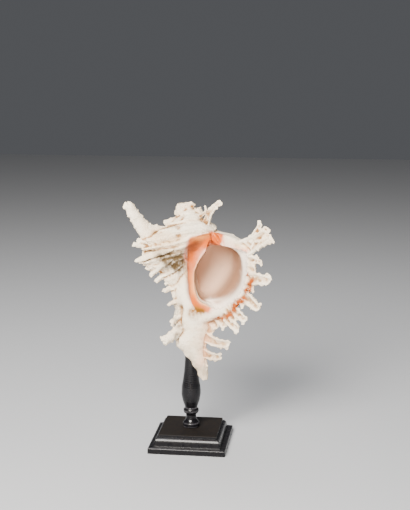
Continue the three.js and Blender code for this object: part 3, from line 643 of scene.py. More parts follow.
def ribSurface(path, half):
    # A low ridge on the flank: ovals across a smooth path, as wide as half and 0.7 times as high,
    # swollen here and there by a sine and closed at both ends by sqrt(1 - s^8)
    knots = np.arange(len(path))
    along = np.linspace(0, knots[-1], 60)
    line = atFrame(*smoothThrough(knots, path, along).T)
    wide = smoothThrough(knots, half, along) * np.sqrt(np.clip(1 - (along / knots[-1] * 2 - 1) ** 8, 0.03, 1))
    wide = (wide * (1 + 0.16 * np.maximum(0, np.sin(along * 7.0)) ** 2))[:, None, None]
    ahead = np.gradient(line, axis=0)
    ahead /= np.linalg.norm(ahead, axis=1, keepdims=True)
    outward = line * (1, 1, 0)
    outward /= np.linalg.norm(outward, axis=1, keepdims=True)
    side = np.cross(ahead, outward)
    side /= np.linalg.norm(side, axis=1, keepdims=True)
    turn = np.linspace(0, 2 * np.pi, 28, endpoint=False)[None, :, None]
    return closeGrid(line[:, None] + wide * (np.cos(turn) * side[:, None] + 0.7 * np.sin(turn) * outward[:, None]))


def allSpines():
    made = varixSpines(0, spines["lip"], 1.0, 0.3)
    for varix in (1, 2):
        made += edgeFrills(varix, 0.7 + varix)
    made += [ribSurface(path, half) for path, half in spines["ribs"]]
    made += varixSpines(1, spines["back"], growth(-2 * np.pi / 3), 1.1)
    made += varixSpines(2, spines["left"], 1.0, 2.2)
    for k, (varix, entry) in enumerate(spines["spire"]):
        made += varixSpines(varix, (entry,), growth(-2 * np.pi / 3 * varix), 3.0 + k)
    for k, (a, b, half) in enumerate(spines["wornTip"]):
        start, end = atFrame(*a), atFrame(*b)
        made.append(spineSurface(start, (start + end) / 2, end, half, np.array([0, 1.0, 0]), 5.0 + k))
    return made


skin = dict(voxel=0.7, mostTriangles=192000, smoothRounds=2, smoothShare=0.3, sharpFrom=58)
pinHole = dict(radius=1.9, low=125.7, high=166.3)


def barSurface(radius, low, high):
    # Upright bar on the stem's axis: x = r cos t, y = r sin t
    turn = np.linspace(0, 2 * np.pi, 24, endpoint=False)
    ring = np.stack([radius * np.cos(turn), radius * np.sin(turn)], 1)
    return closeGrid(np.stack([np.column_stack([ring, np.full(24, z)]) for z in (low, high)]))


def cutAway(piece, cutter):
    # Boolean difference, then the cutter goes
    tool = pieceFrom("cutter", cutter)
    cut = piece.modifiers.new("cut", "BOOLEAN")
    cut.operation = "DIFFERENCE"
    cut.object = tool
    cut.solver = "MANIFOLD"
    settle(piece)
    bpy.data.objects.remove(tool)


def makeShell():
    # Closed parts fused by a voxel remesh, hollowed by a boolean, then thinned to the triangle
    # limit. The second material slot marks the faces of the hollow.
    surfaces = [coilSurface(), neckSurface(), innerLipSurface(), callusSurface()] + allSpines()
    fused = pieceFrom("shellSkin", meshFrom("shellSkin", surfaces))
    print("shell parts:", len(fused.data.vertices), "points before fusing")
    remesh = fused.modifiers.new("fuse", "REMESH")
    remesh.mode = "VOXEL"
    remesh.voxel_size = skin["voxel"]
    settle(fused)
    print("fused:", len(fused.data.polygons), "faces")
    points, edges = readPoints(fused.data), readEdges(fused.data)
    for _ in range(skin["smoothRounds"]):
        points += (neighbourMean(points, edges, len(points)) - points) * skin["smoothShare"]
    writePoints(fused.data, points)
    wearDown(fused.data)
    solid = fused.data.copy()
    for name in ("outside", "inside"):
        fused.data.materials.append(bpy.data.materials.new(name))
    hollowMesh = meshFrom("hollowCutter", [hollowSurface()])
    hollowMesh.materials.append(fused.data.materials[1])
    cutAway(fused, hollowMesh)
    triangles = sum(len(p.vertices) - 2 for p in fused.data.polygons)
    thin = fused.modifiers.new("thin", "DECIMATE")
    thin.ratio = min(1.0, skin["mostTriangles"] / triangles)
    settle(fused)
    left = sum(len(p.vertices) - 2 for p in fused.data.polygons)
    print("hollowed and thinned:", triangles, "to", left, "triangles")
    return fused, solid


def setFloat(mesh, name, values):
    layer = mesh.attributes.new(name, "FLOAT", "POINT")
    layer.data.foreach_set("value", np.ascontiguousarray(values, dtype=np.float32))


def nearest(points, line):
    # Distance from each point to the nearest point of a line, a block of points at a time
    best = np.empty(len(points))
    for k in range(0, len(points), 20000):
        block = points[k:k + 20000]
        best[k:k + 20000] = np.sqrt(((block[:, None] - line[None]) ** 2).sum(-1)).min(1)
    return best


# Dents worn into the spire as place (x, y, below apex), reach and depth in mm, and the blending
# of the joins round the callus
worn = dict(
    dents=(((-8.9, -14.8, 14.3), 3.0, 2.2), ((-12.3, -26.6, 24.3), 3.2, 2.4), ((-12.9, -35.8, 33.8), 3.0, 2.0),
           ((16, -13.9, 15.3), 3.6, 2.4), ((20, -18.1, 21.4), 3.2, 1.8)),
    near=9.0, far=15.0, leftOf=(26, 32), rounds=36, share=0.6,
)


def wearDown(mesh):
    # Dents: each point moves in by depth exp(-d^2 / reach^2). Then the joins between neck, callus
    # and band are smoothed, fully near the callus line and not at all past the far reach.
    points, normals, edges = readPoints(mesh), readNormals(mesh), readEdges(mesh)
    place = points * (1, 1, -1) + (0, 0, shellPlace["apex"])
    for centre, reach, depth in worn["dents"]:
        off = ((place - np.array(centre)) ** 2).sum(1)
        points = points - normals * (depth * np.exp(-off / reach ** 2))[:, None]
    knots = np.arange(len(callus["line"]))
    line = smoothThrough(knots, callus["line"], np.linspace(0, knots[-1], 40))
    share = (1 - easeBetween(worn["near"], worn["far"], nearest(place, line)))[:, None]
    share = share * (1 - easeBetween(*worn["leftOf"], points[:, :1]))
    for _ in range(worn["rounds"]):
        points = points + (neighbourMean(points, edges, len(points)) - points) * share * worn["share"]
    writePoints(mesh, points)


# Colour marks on the shell as points in its own frame (x, y, below apex), with a reach in mm
marks = dict(
    apricot=(((13, -29.6, 37.7), 6), ((4, -32.5, 37.5), 5), ((20, -27, 37), 5), ((-4, -27, 84), 4),
             ((-3, -26.5, 96), 5)),
    coral=(((19, -24, 44), 5.5), ((24, -20, 44), 5), ((15, -26, 47), 4), ((28, -26, 38), 4.5), ((31, -26, 44), 4)),
    rust=(((20.3, -23, 130.8), 2.8), ((23.6, -21.9, 130.7), 2.8), ((27.1, -23.1, 131.4), 3.2),
          ((32.6, -27.8, 129.7), 3.4), ((37.7, -29.4, 126.6), 3.8), ((40.5, -31.9, 122.4), 3.4),
          ((43.2, -34.2, 117.1), 4), ((46, -36.4, 114.5), 4),
          ((50.1, -40.9, 111.9), 3.4), ((53.7, -41.2, 110.7), 3.6), ((60, -45.9, 99.6), 3.6),
          ((56.5, -44.1, 102), 3.6),
          ((60.4, -48, 94), 3.4), ((64, -47.6, 91), 3.6),
          ((59.2, -45.1, 82.9), 3)),
    olive=(((-5, -22.7, 120.6), 4.2), ((0.5, -22.7, 121.1), 3.8), ((6.6, -25, 121.3), 3.2),
           ((-6.7, -21.5, 124.2), 3.2), ((2, -25.6, 119), 3),
           ((-2.9, -24.6, 117.2), 3.4), ((-7.8, -12.5, 14.4), 3.2), ((-13, -23.1, 24.2), 3.4),
           ((-13.6, -33.8, 33.7), 3.2),
           ((16.6, -9.4, 15.3), 3.6), ((21, -17.4, 11.3), 3.4), ((4.6, -3.9, 1.6), 2.6)),
    shade=(((-27.1, -32.3, 59), 9), ((-19.8, -29.1, 64.2), 9), ((-11.1, -29.5, 55.9), 7),
           ((-14.8, -24.4, 70.4), 7), ((-36, -33, 54), 6)),
    # Painted shade in the crevice beside the canal's left margin
    crevice=(((-24.4, -13.8, 124.9), 5), ((-20.7, -14.2, 135.5), 5), ((-25, -18.6, 146.1), 4),
             ((-19, -16, 116), 5)),
    pink=(((31.9, -25.1, 47.8), 2.2), ((36.9, -28.3, 49.4), 2.2), ((40.8, -31.6, 50.7), 2.2),
          ((44.8, -35, 52), 2.3),
          ((48.6, -37.7, 53.6), 2.3), ((52.4, -40.4, 55.2), 2.5), ((56.3, -43.4, 56.2), 2.5),
          ((60.2, -46.4, 57.1), 2.6)),
    straw=(((38, -29.5, 46.6), 2.6), ((45, -35.5, 48.6), 2.8), ((52, -40.5, 51.4), 3), ((59, -45.5, 53.6), 3)),
    tint=(((6.3, -8.7, 153.2), 7), ((3.9, -7, 167), 6.5), ((0, -6, 180), 6), ((12, -15, 135), 8)),
    # Painted shade round the inner lip band's top corner and along its left edge
    bandShade=(((1.5, -31.3, 49.5), 6), ((5.7, -32.6, 43.8), 4.5), ((-2.8, -30.8, 51), 4.5), ((-5.9, -28.9, 59.8), 3.4),
          ((-6.3, -27.4, 71.1), 2.6), ((13, -30, 45), 3.6), ((0, -32, 47), 4.5)),
)


# Ranges over which each mask eases from 0 to 1, in mm unless noted
maskLook = dict(
    smoothing=(5, 28), finePit=(0.05, 0.5), broadPit=(0.1, 1.3), finePitShare=0.55, crest=(0.1, 0.9),
    upperBand=(56, 66), upperWiden=5.0, bandOuter=(1.0, 4.5), bandInner=(0.2, 1.6),
    blushIn=(0.02, 0.12), blushOut=(0.75, 0.98), blushLoss=0.35,
    rimDepth=(5, 11), rimRight=(30, 42), rimBelow=(52, 70), creamReach=1.5, creamBelow=(52, 70),
    shadowReach=3.0, shadowEnd=(100, 112), shadowStart=(38, 48), cornerAt=47, cornerReach=8, cornerShare=0.8,
    throatDepth=(4.0, 10.5), leftWall=(8, 17), leftWallBack=(-28.0, -26.8), deepIn=(25, 95), low=(138, 192),
)


def cornerMean(mesh, values, count):
    # Mean over the faces at each point of a value on the faces
    owner = np.empty(len(mesh.loops), dtype=np.int32)
    mesh.loops.foreach_get("vertex_index", owner)
    sizes = np.empty(len(mesh.polygons), dtype=np.int32)
    mesh.polygons.foreach_get("loop_total", sizes)
    total = np.bincount(owner, weights=np.repeat(values, sizes), minlength=count)
    return total / np.maximum(np.bincount(owner, minlength=count), 1)


def paintShell(mesh):
    # Masks in 0..1 from position and relief. glaze: hollow and inner lip. throat: hollow past its
    # rim. deepIn: hollow by its plan angle back from the lip, which sets the hollow's painted shade
    # and painted light. blush: across the inner lip's band and along the opening's top rim. cream:
    # bell at the band's inner edge, a painted highlight. shadowLine: bell at its outer edge and in
    # its top corner, a painted shadow. pit: how far the smoothed skin stands above the point, which
    # carries the brown in the recesses and painted shade there, and crest the same below it. low:
    # down the canal, for painted shade toward the tail. Then each list of marks, as the sum of
    # exp(-d^2 / reach^2) where the skin faces the viewer; the shade marks, the marks round the
    # band's top corner and the crevice marks are painted shade.
    points = readPoints(mesh)
    normals, edges = readNormals(mesh), readEdges(mesh)
    count = len(points)
    place = points * (1, 1, -1) + (0, 0, shellPlace["apex"])
    looser = points.copy()
    pits = []
    for rounds in maskLook["smoothing"]:
        for _ in range(rounds):
            looser = neighbourMean(looser, edges, count)
        pits.append(((looser - points) * normals).sum(1))
    pit = easeBetween(*maskLook["finePit"], pits[0]) * maskLook["finePitShare"]
    pit = pit + easeBetween(*maskLook["broadPit"], pits[1])
    crest = easeBetween(*maskLook["crest"], -pits[0])
    slots = np.empty(len(mesh.polygons), dtype=np.int32)
    mesh.polygons.foreach_get("material_index", slots)
    inside = cornerMean(mesh, slots, count)
    face = np.array([math.sin(lipAngle), -math.cos(lipAngle), 0])
    depth = -(points @ face)
    outer, inner, _ = lipEdges(240)
    toOuter, toInner = nearest(place, outer), nearest(place, inner)
    across = toOuter / np.maximum(toOuter + toInner, 1e-6)
    wide = np.interp(place[:, 2], outer[:, 2], np.linalg.norm(outer - inner, axis=1))
    widened = wide + maskLook["upperWiden"] * (1 - easeBetween(*maskLook["upperBand"], place[:, 2]))
    near, far = maskLook["bandOuter"]
    onBand = 1 - easeBetween(near + widened, far + widened, toOuter + toInner)
    near, far = maskLook["bandInner"]
    onBand = onBand * (1 - easeBetween(wide + near, wide + far, toInner))
    blush = onBand * easeBetween(*maskLook["blushIn"], across)
    blush = blush * (1 - maskLook["blushLoss"] * easeBetween(*maskLook["blushOut"], across))
    topRim = inside * (1 - easeBetween(*maskLook["rimDepth"], depth))
    topRim = topRim * (1 - easeBetween(*maskLook["rimRight"], place[:, 0]))
    topRim = topRim * (1 - easeBetween(*maskLook["rimBelow"], place[:, 2]))
    blush = np.maximum(blush, topRim)
    # Painted highlight: a light line along the band's inner edge, where its rounded side catches the light
    cream = np.exp(-(toInner / maskLook["creamReach"]) ** 2) * easeBetween(*maskLook["creamBelow"], place[:, 2])
    front = easeBetween(-0.3, 0.2, -normals[:, 1])
    onBand = onBand * front
    # Painted shadow along the band's outer edge; with the corner term below, painted shade in its top corner
    shadow = np.exp(-(toOuter / maskLook["shadowReach"]) ** 2)
    shadow = shadow * (1 - easeBetween(*maskLook["shadowEnd"], place[:, 2]))
    shadow = shadow * easeBetween(*maskLook["shadowStart"], place[:, 2])
    corner = onBand * np.exp(-((place[:, 2] - maskLook["cornerAt"]) / maskLook["cornerReach"]) ** 2)
    corner = corner * (1 - easeBetween(0.25, 0.8, across))
    leftWall = 1 - easeBetween(*maskLook["leftWall"], points[:, 0])
    past = easeBetween(*maskLook["throatDepth"], depth)
    past = past + leftWall * easeBetween(*maskLook["leftWallBack"], points[:, 1])
    throat = inside * np.clip(past, 0, 1)
    turnBack = np.mod(np.arctan2(points[:, 1], points[:, 0]) - lipAngle, 2 * np.pi)
    deepIn = inside * easeBetween(*np.radians(maskLook["deepIn"]), turnBack)
    masks = dict(
        low=easeBetween(*maskLook["low"], place[:, 2]), deepIn=deepIn, glaze=np.maximum(inside, onBand),
        throat=throat, blush=blush, cream=cream, pit=pit, crest=crest,
        shadowLine=np.maximum(shadow, corner * maskLook["cornerShare"]),
    )
    for name, spots in marks.items():
        centres = np.array([spot[0] for spot in spots], float)
        reach = np.array([spot[1] for spot in spots])
        off = ((place[:, None] - centres[None]) ** 2).sum(-1)
        masks[name] = np.minimum(np.exp(-off / reach ** 2).sum(1), 1) * easeBetween(-0.1, 0.3, -normals[:, 1])
    for name, values in masks.items():
        values = values[:, None]
        for _ in range(2):
            values = 0.5 * values + 0.5 * neighbourMean(values, edges, count)
        setFloat(mesh, name, np.clip(values[:, 0], 0, 1))
    print("painted:", ", ".join(masks))


def dress(mesh, material, angle):
    # One material on every face, shaded smooth but at edges sharper than the angle
    mesh.materials.clear()
    mesh.materials.append(material)
    mesh.polygons.foreach_set("material_index", np.zeros(len(mesh.polygons), dtype=np.int32))
    mesh.shade_smooth()
    mesh.set_sharp_from_angle(angle=math.radians(angle))


# Node groups that materials share, giving one value from object coordinates
def newGroup(name, inputs):
    group = bpy.data.node_groups.new(name, "ShaderNodeTree")
    for label, value in inputs.items():
        group.interface.new_socket(label, in_out="INPUT", socket_type="NodeSocketFloat").default_value = value
    group.interface.new_socket("Value", in_out="OUTPUT", socket_type="NodeSocketFloat")
    return group, group.nodes.new("NodeGroupInput"), group.nodes.new("NodeGroupOutput")


def addNode(tree, kind, values=None, **settings):
    node = tree.nodes.new(kind)
    for key, value in settings.items():
        setattr(node, key, value)
    for key, value in (values or {}).items():
        node.inputs[key].default_value = value
    return node


def makeMottle():
    # Blotches: noise of the object's coordinates times Scale, spread between Low and High
    group, start, end = newGroup("mottle", {"Scale": 60.0, "Low": 0.4, "High": 0.65, "Stretch": 1.0})
    where = addNode(group, "ShaderNodeTexCoord")
    squash = addNode(group, "ShaderNodeCombineXYZ", {0: 1.0, 1: 1.0})
    times = addNode(group, "ShaderNodeVectorMath", operation="MULTIPLY")
    noise = addNode(group, "ShaderNodeTexNoise", {"Detail": 4.0, "Roughness": 0.6})
    spread = addNode(group, "ShaderNodeMapRange", interpolation_type="SMOOTHSTEP")
    link = group.links.new
    link(start.outputs["Stretch"], squash.inputs[2])
    link(where.outputs["Object"], times.inputs[0])
    link(squash.outputs[0], times.inputs[1])
    link(times.outputs[0], noise.inputs["Vector"])
    link(start.outputs["Scale"], noise.inputs["Scale"])
    link(noise.outputs["Fac"], spread.inputs["Value"])
    link(start.outputs["Low"], spread.inputs["From Min"])
    link(start.outputs["High"], spread.inputs["From Max"])
    link(spread.outputs["Result"], end.inputs["Value"])
    return group


mottle = makeMottle()


class Paint:
    # Small helper that lays colours over one another in a material
    def __init__(self, name):
        self.material = bpy.data.materials.new(name)
        self.material.use_nodes = True
        self.tree = self.material.node_tree
        self.shader = self.tree.nodes["Principled BSDF"]

    def mask(self, name):
        node = addNode(self.tree, "ShaderNodeAttribute", attribute_name=name, attribute_type="GEOMETRY")
        return node.outputs["Fac"]

    def blotch(self, scale, low, high, stretch=1.0):
        node = addNode(self.tree, "ShaderNodeGroup", node_tree=mottle)
        for key, value in (("Scale", scale), ("Low", low), ("High", high), ("Stretch", stretch)):
            node.inputs[key].default_value = value
        return node.outputs["Value"]

    def times(self, a, b):
        node = addNode(self.tree, "ShaderNodeMath", operation="MULTIPLY")
        for socket, value in zip(node.inputs, (a, b)):
            self.feed(socket, value)
        return node.outputs[0]

    def feed(self, socket, value):
        if hasattr(value, "is_linked"):
            self.tree.links.new(value, socket)
        else:
            socket.default_value = value

    def over(self, under, colour, share):
        node = addNode(self.tree, "ShaderNodeMix", data_type="RGBA")
        self.feed(node.inputs["Factor"], share)
        self.feed(node.inputs[6], under if hasattr(under, "is_linked") else (*under, 1))
        self.feed(node.inputs[7], colour if hasattr(colour, "is_linked") else (*colour, 1))
        return node.outputs[2]

    def ramp(self, low, high, share):
        node = addNode(self.tree, "ShaderNodeMix", data_type="FLOAT")
        for socket, value in zip((node.inputs["Factor"], node.inputs[2], node.inputs[3]), (share, low, high)):
            self.feed(socket, value)
        return node.outputs[0]

    def bump(self, height, strength, distance):
        node = addNode(self.tree, "ShaderNodeBump", {"Strength": strength, "Distance": distance})
        self.feed(node.inputs["Height"], height)
        self.tree.links.new(node.outputs["Normal"], self.shader.inputs["Normal"])


shellLook = dict(
    chalk=(0.88, 0.77, 0.60), cream=(0.66, 0.43, 0.22), ochre=(0.28, 0.12, 0.035), oliveBrown=(0.10, 0.055, 0.02),
    rust=(0.30, 0.06, 0.003), olive=(0.24, 0.088, 0.003), coral=(0.54, 0.098, 0.007), edge=(0.95, 0.60, 0.28),
    # porcelain and inner: the hollow's beige, painted darker near the lip and lighter further round (painted shade
    # and painted light)
    apricot=(0.84, 0.31, 0.07), shadowBrown=(0.14, 0.03, 0.008), porcelainWithPaintedShade=(0.27, 0.145, 0.085), inner=(0.86, 0.58, 0.40),
    flare=(0.93, 0.82, 0.70), pink=(0.62, 0.09, 0.02), blushWhite=(0.84, 0.44, 0.26), shade=(0.09, 0.055, 0.022),
    dustAndShade=(0.30, 0.22, 0.14), roughOutside=0.6, roughGlaze=0.36, specular=0.16, coat=0.05, coatRoughness=0.2,
)


# Layers from the first to the last: colour, masks, strength, and where blotches spread the
# strength between two values, their scale, low, high and stretch
shellLayers = (
    ("cream", (), (0, 0.5), (38, 0.42, 0.7)),
    # Painted shade: darker down the canal toward the tail, where less light falls
    ("dustAndShade", ("low",), (0.25, 0.75), (90, 0.3, 0.7)),
    # Uneven dusty tone all over
    ("dustAndShade", (), (0, 0.42), (170, 0.54, 0.74)),
    # The recesses darker in cream, ochre and olive brown: the shell's own brown in its hollows together with
    # painted shade there
    ("cream", ("pit",), 0.75, None),
    ("ochre", ("pit",), (0.25, 0.95), (130, 0.36, 0.62)),
    ("oliveBrown", ("pit", "pit"), (0.1, 0.85), (75, 0.42, 0.66)),
    ("shade", ("shade",), (0.6, 1.15), (210, 0.34, 0.6, 0.6)),
    # Painted shade in the crevice beside the canal's left margin, in olive brown
    ("oliveBrown", ("crevice",), (0, 1), (160, 0.34, 0.6)),
    ("chalk", ("crest",), 0.75, None),
    ("blushWhite", ("tint",), 0.55, None),
    ("flare", ("glaze",), 1.0, None),
    # The hollow's colour: painted shade near the lip where the key light falls, painted light further round where
    # it is in shadow
    ("hollow", ("throat",), 1.0, None),
    ("coral", ("blush",), (0.93, 1.0), (55, 0.35, 0.65)),
    ("apricot", ("apricot", "blush"), 0.8, None),
    # Painted shadow along the band's outer edge and painted shade round its top corner, in dark brown
    ("shadowBrown", ("shadowLine",), 0.8, None),
    # Painted shade at the marks round the band's top corner
    ("shadowBrown", ("bandShade",), 0.72, None),
    ("coral", ("coral",), 1.0, None),
    ("pink", ("pink",), 0.8, None),
    ("edge", ("straw",), 0.55, None),
    # Painted highlight along the inner lip band's inner edge
    ("edge", ("cream",), 0.85, None),
    ("rust", ("rust",), (0.55, 1.25), (190, 0.38, 0.56)),
    ("olive", ("olive",), (0.55, 1.35), (140, 0.36, 0.62)),
)


def makeShellMaterial():
    # Each layer's colour is laid over the last by its strength times its masks. The hollow's colour
    # runs from porcelain near the lip to the inner colour further round: its own beige, painted darker
    # near the lip where the key light falls strongly and painted lighter further round where the
    # hollow lies in shadow, as painted shade and painted light that even out its lighting.
    paint, look = Paint("murexShell"), shellLook
    colours = dict(look, hollow=paint.over(look["porcelainWithPaintedShade"], look["inner"], paint.mask("deepIn")))
    colour = look["chalk"]
    for name, masks, strength, spots in shellLayers:
        share = paint.ramp(*strength, paint.blotch(*spots)) if spots else strength
        for mask in masks:
            share = paint.times(paint.mask(mask), share)
        colour = paint.over(colour, colours[name], share)
    glaze = paint.mask("glaze")
    paint.feed(paint.shader.inputs["Base Color"], colour)
    paint.feed(paint.shader.inputs["Roughness"], paint.ramp(look["roughOutside"], look["roughGlaze"], glaze))
    paint.feed(paint.shader.inputs["Coat Weight"], paint.times(glaze, look["coat"]))
    paint.shader.inputs["Coat Roughness"].default_value = look["coatRoughness"]
    paint.shader.inputs["Specular IOR Level"].default_value = look["specular"]
    outside = paint.ramp(1.0, 0.05, glaze)
    paint.bump(paint.times(paint.blotch(420, 0.3, 0.7), outside), 0.55, 0.0006)
    return paint.material


shell, shellSolid = makeShell()
paintShell(shell.data)
# No tip passes the frame's box
writePoints(shell.data, np.clip(shellToObject(readPoints(shell.data)), *np.array(cadBox)))
barPoints, barQuads, barTris = barSurface(pinHole["radius"], pinHole["low"], pinHole["high"])
cutAway(shell, meshFrom("pinHoleCutter", [(barPoints * mm, barQuads, barTris)]))
dress(shell.data, makeShellMaterial(), skin["sharpFrom"])
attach(shell, "root")
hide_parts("shell")
print("shell finished:", len(shell.data.vertices), "points")

# The stem: radius and height above its foot
stem = dict(
    foot=20.02, top=160.0, around=96, rows=420, saddleGap=0.35,
    profile=((9.3, 0), (9.9, 1), (9.9, 4.4), (9, 5.9), (7.6, 7.5), (6.4, 10), (5.9, 13), (6.2, 15.6), (8.2, 17.2),
             (9, 18.6), (9, 20.9), (8.1, 22.4), (7.3, 23.6), (8.3, 27), (10.2, 33), (11.4, 41), (11.1, 48),
             (9.8, 56), (8.1, 69), (7.1, 82), (6.4, 98), (6, 118)),
    wobble=0.04, wearAt=(21, 25, 39.5, 43.5), wearSpread=0.7, wearShare=0.3, sharpFrom=40,
)


def stemSurface():
    # Turned on a lathe: x = r cos t, y = r sin t, with the radius and height both smooth along
    # the profile, and a trace of unevenness left by the tool
    knots = np.arange(len(stem["profile"]) + 1)
    values = np.array(stem["profile"] + ((6, stem["top"] - stem["foot"]),), float)
    line = smoothThrough(knots, values, np.linspace(0, knots[-1], stem["rows"]))
    turn = np.linspace(0, 2 * np.pi, stem["around"], endpoint=False)
    radius = line[:, :1] - stem["wobble"] * (1 + np.sin(line[:, 1:] * 2.6 + turn * 2))
    height = stem["foot"] + line[:, 1:] + 0 * turn
    return closeGrid(np.stack([radius * np.cos(turn), radius * np.sin(turn), height], -1))


def makeStem():
    # The top is cut to the shell's underside, once in place and once a little back and down
    made = pieceFrom("stemTurned", meshFrom("stemTurned", [stemSurface()]))
    skinPoints = shellToObject(readPoints(shellSolid)) / mm
    for shift in ((0, 0, 0), (0, stem["saddleGap"], -stem["saddleGap"])):
        cutter = shellSolid.copy()
        writePoints(cutter, skinPoints + np.array(shift))
        cutAway(made, cutter)
    cutAway(made, meshFrom("pinHoleCutter", [barSurface(pinHole["radius"], pinHole["low"], pinHole["high"])]))
    writePoints(made.data, readPoints(made.data) * mm)
    return made


woodLook = dict(black=(0.0022, 0.0022, 0.0034), brown=(0.011, 0.008, 0.006), worn=(0.16, 0.155, 0.17),
                roughGloss=0.26, roughMatte=0.65, specular=0.2, coatTurned=0.3, coatFlat=0.14, coatRoughness=0.12)


def makeWood(name, turned):
    # Ebonised wood: black stain with brown showing through in streaks along the grain, pale where
    # edges are worn, and on a flat block a dull brown top
    paint, look = Paint(name), woodLook
    grain = paint.blotch(900 if turned else 420, 0.42, 0.66, 0.05 if turned else 1.0)
    colour = paint.over(look["black"], look["brown"], paint.times(grain, 0.35))
    rough = paint.ramp(look["roughGloss"], look["roughGloss"] + 0.06, paint.blotch(160, 0.35, 0.65))
    if not turned:
        top = paint.mask("onTop")
        streaks = paint.blotch(210, 0.36, 0.68)
        colour = paint.over(colour, look["brown"], paint.times(top, paint.ramp(0.45, 1.0, streaks)))
        rough = paint.ramp(rough, look["roughMatte"], top)
    colour = paint.over(colour, look["worn"], paint.times(paint.mask("wear"), paint.blotch(260, 0.3, 0.7)))
    paint.feed(paint.shader.inputs["Base Color"], colour)
    paint.feed(paint.shader.inputs["Roughness"], rough)
    coat = look["coatTurned"] if turned else paint.ramp(look["coatFlat"], 0.0, paint.mask("onTop"))
    paint.feed(paint.shader.inputs["Coat Weight"], coat)
    paint.shader.inputs["Specular IOR Level"].default_value = look["specular"]
    paint.shader.inputs["Coat Roughness"].default_value = look["coatRoughness"]
    paint.bump(grain, 0.12, 0.0001)
    return paint.material


def markWear(mesh, levels, spread, strength):
    # Bell-shaped wear round each listed height in mm
    height = readPoints(mesh)[:, 2] / mm
    bells = np.exp(-((height[:, None] - np.array(levels)) / spread) ** 2).sum(1)
    setFloat(mesh, "wear", strength * np.clip(bells, 0, 1))


# The plinth's tiers as half width and height
plinth = dict(
    profile=((45, 0), (45, 5.4), (44.3, 6.6), (42.8, 7.1), (39.4, 7.1), (39, 8.0), (38.4, 10.8), (37.6, 13.6),
             (36.4, 15.6), (34.6, 16.4), (33.9, 16.7), (33.9, 19.2), (33.4, 19.72), (24, 19.72), (12, 19.72),
             (2, 19.72)),
    rows=10, side=40, cornerSteps=8, cornerRadius=0.8, topFrom=(19.0, 19.5),
    wearAt=(6.5, 15.6), wearSpread=0.6, wearShare=0.16, sharpFrom=40,
)


def plinthSurface():
    # Rounded squares stacked up the profile. Round the square: straight sides h - r from the
    # middle, and quarter circles of radius r at the corners.
    profile = np.array(plinth["profile"], float)
    knots = np.arange(len(profile))
    line = smoothThrough(knots, profile, np.linspace(0, knots[-1], (len(profile) - 1) * plinth["rows"] + 1))
    side = np.linspace(-1, 1, plinth["side"], endpoint=False)[1:]
    corner = np.linspace(0, np.pi / 2, plinth["cornerSteps"])
    flat, arcs = [], []
    for quarter in range(4):
        turn = quarter * np.pi / 2
        ahead, left = np.array([math.cos(turn), math.sin(turn)]), np.array([-math.sin(turn), math.cos(turn)])
        flat += [ahead + left * s for s in side]
        arcs += [np.zeros(2)] * len(side)
        flat += [ahead + left] * len(corner)
        arcs += [ahead * math.cos(c) + left * math.sin(c) for c in corner]
    flat, arcs = np.array(flat), np.array(arcs)
    radius = np.minimum(plinth["cornerRadius"], line[:, 0] * 0.3)[:, None, None]
    across = line[:, 0][:, None, None]
    straight = flat * (across - radius)
    sideMask = (np.abs(arcs).sum(1) == 0)[None, :, None]
    face = np.where(np.abs(flat) == np.abs(flat).max(1, keepdims=True), np.sign(flat), 0) * sideMask[0]
    ring = straight + arcs * radius + face * radius
    height = line[:, 1][:, None] + np.zeros(len(flat))
    return closeGrid(np.concatenate([ring, height[..., None]], -1))


stemPiece = makeStem()
markWear(stemPiece.data, stem["wearAt"], stem["wearSpread"], stem["wearShare"])
dress(stemPiece.data, makeWood("ebonisedStem", True), stem["sharpFrom"])
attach(stemPiece, "root")
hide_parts("stem")

plinthPiece = pieceFrom("plinthBlock", meshFrom("plinthBlock", [plinthSurface()]))
writePoints(plinthPiece.data, readPoints(plinthPiece.data) * mm)
markWear(plinthPiece.data, plinth["wearAt"], plinth["wearSpread"], plinth["wearShare"])
setFloat(plinthPiece.data, "onTop", easeBetween(*plinth["topFrom"], readPoints(plinthPiece.data)[:, 2] / mm))
dress(plinthPiece.data, makeWood("ebonisedPlinth", False), plinth["sharpFrom"])
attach(plinthPiece, "root")
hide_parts("plinth")

# The pin keeps its CAD shape
steelLook = dict(bright=(0.50, 0.50, 0.52), stained=(0.17, 0.12, 0.08), roughBright=0.28, roughStained=0.6)


def makeSteel():
    # Drawn steel with fine streaks along the peg and duller stained patches
    paint, look = Paint("drawnSteel"), steelLook
    stains = paint.blotch(320, 0.5, 0.72)
    colour = paint.over(look["bright"], look["stained"], paint.times(stains, 0.6))
    paint.feed(paint.shader.inputs["Base Color"], colour)
    paint.feed(paint.shader.inputs["Roughness"], paint.ramp(look["roughBright"], look["roughStained"], stains))
    paint.shader.inputs["Metallic"].default_value = 1.0
    paint.bump(paint.blotch(1800, 0.4, 0.6, 0.04), 0.1, 0.00005)
    return paint.material


steel = makeSteel()
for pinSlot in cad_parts["pin"].material_slots:
    pinSlot.material = steel
print("stand finished")

# Camera at the photograph's angle
view = dict(azimuth=7.2, elevation=11.36, distance=1300.0, sideways=16.36, height=226.38,
            focal=1130.86, frameLong=510.0, sensor=36.0, near=0.05, far=20.0)


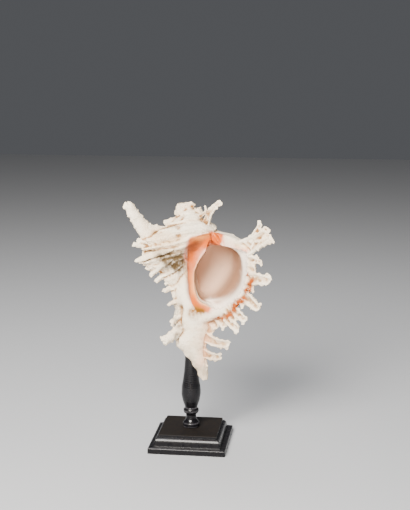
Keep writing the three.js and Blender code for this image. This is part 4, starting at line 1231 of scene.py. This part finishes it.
def makeCamera():
    # The camera looks at a point beside the stem's axis, from azimuth and elevation at a distance.
    # Its lens is focal over the frame's long side, times the sensor.
    azimuth, elevation = math.radians(view["azimuth"]), math.radians(view["elevation"])
    sideways = view["sideways"]
    target = Vector((sideways * math.cos(azimuth), sideways * math.sin(azimuth), view["height"])) * mm
    level = math.cos(elevation)
    away = Vector((math.sin(azimuth) * level, -math.cos(azimuth) * level, math.sin(elevation)))
    data = bpy.data.cameras.new("camera")
    data.sensor_width = view["sensor"]
    data.lens = view["focal"] / view["frameLong"] * view["sensor"]
    data.clip_start, data.clip_end = view["near"], view["far"]
    camera = bpy.data.objects.new("camera", data)
    camera.location = target + away * view["distance"] * mm
    camera.rotation_euler = away.to_track_quat("Z", "Y").to_euler()
    bpy.context.scene.collection.objects.link(camera)
    bpy.context.scene.camera = camera


makeCamera()

# Plain pale floor and soft studio light
studio = dict(floorHalf=3.0, floorColour=(0.42, 0.43, 0.45, 1), floorRoughness=0.8,
              sky=(0.9, 0.93, 1, 1), worldLight=0.1, aim=(0, 0, 0.17))


def makeFloor():
    half = studio["floorHalf"]
    mesh = bpy.data.meshes.new("floor")
    mesh.from_pydata([(-half, -half, 0), (half, -half, 0), (half, half, 0), (-half, half, 0)], [], [(0, 1, 2, 3)])
    floor = pieceFrom("floor", mesh)
    material = bpy.data.materials.new("paleFloor")
    material.use_nodes = True
    shader = material.node_tree.nodes["Principled BSDF"]
    shader.inputs["Base Color"].default_value = studio["floorColour"]
    shader.inputs["Roughness"].default_value = studio["floorRoughness"]
    mesh.materials.append(material)


lamps = dict(
    key=dict(at=(-0.27, -1.38, 1.08), size=0.85, power=120.0, colour=(1, 0.955, 0.89), inGloss=True),
    front=dict(at=(0.30, -1.40, 0.40), size=0.5, power=6.0, colour=(1, 0.97, 0.93), inGloss=False),
    top=dict(at=(-0.1, 0.35, 1.2), size=0.6, power=7.0, colour=(0.95, 0.97, 1), inGloss=True),
)


def makeLamps():
    for name, lamp in lamps.items():
        data = bpy.data.lights.new(name, "AREA")
        data.shape = "SQUARE"
        data.size = lamp["size"]
        data.energy = lamp["power"]
        data.color = lamp["colour"]
        light = bpy.data.objects.new(name, data)
        light.location = lamp["at"]
        light.visible_glossy = lamp["inGloss"]
        light.rotation_euler = (Vector(lamp["at"]) - Vector(studio["aim"])).to_track_quat("Z", "Y").to_euler()
        bpy.context.scene.collection.objects.link(light)
    world = bpy.data.worlds.new("studio")
    world.use_nodes = True
    world.node_tree.nodes["Background"].inputs["Color"].default_value = studio["sky"]
    world.node_tree.nodes["Background"].inputs["Strength"].default_value = studio["worldLight"]
    bpy.context.scene.world = world


makeFloor()
makeLamps()
print("studio ready")
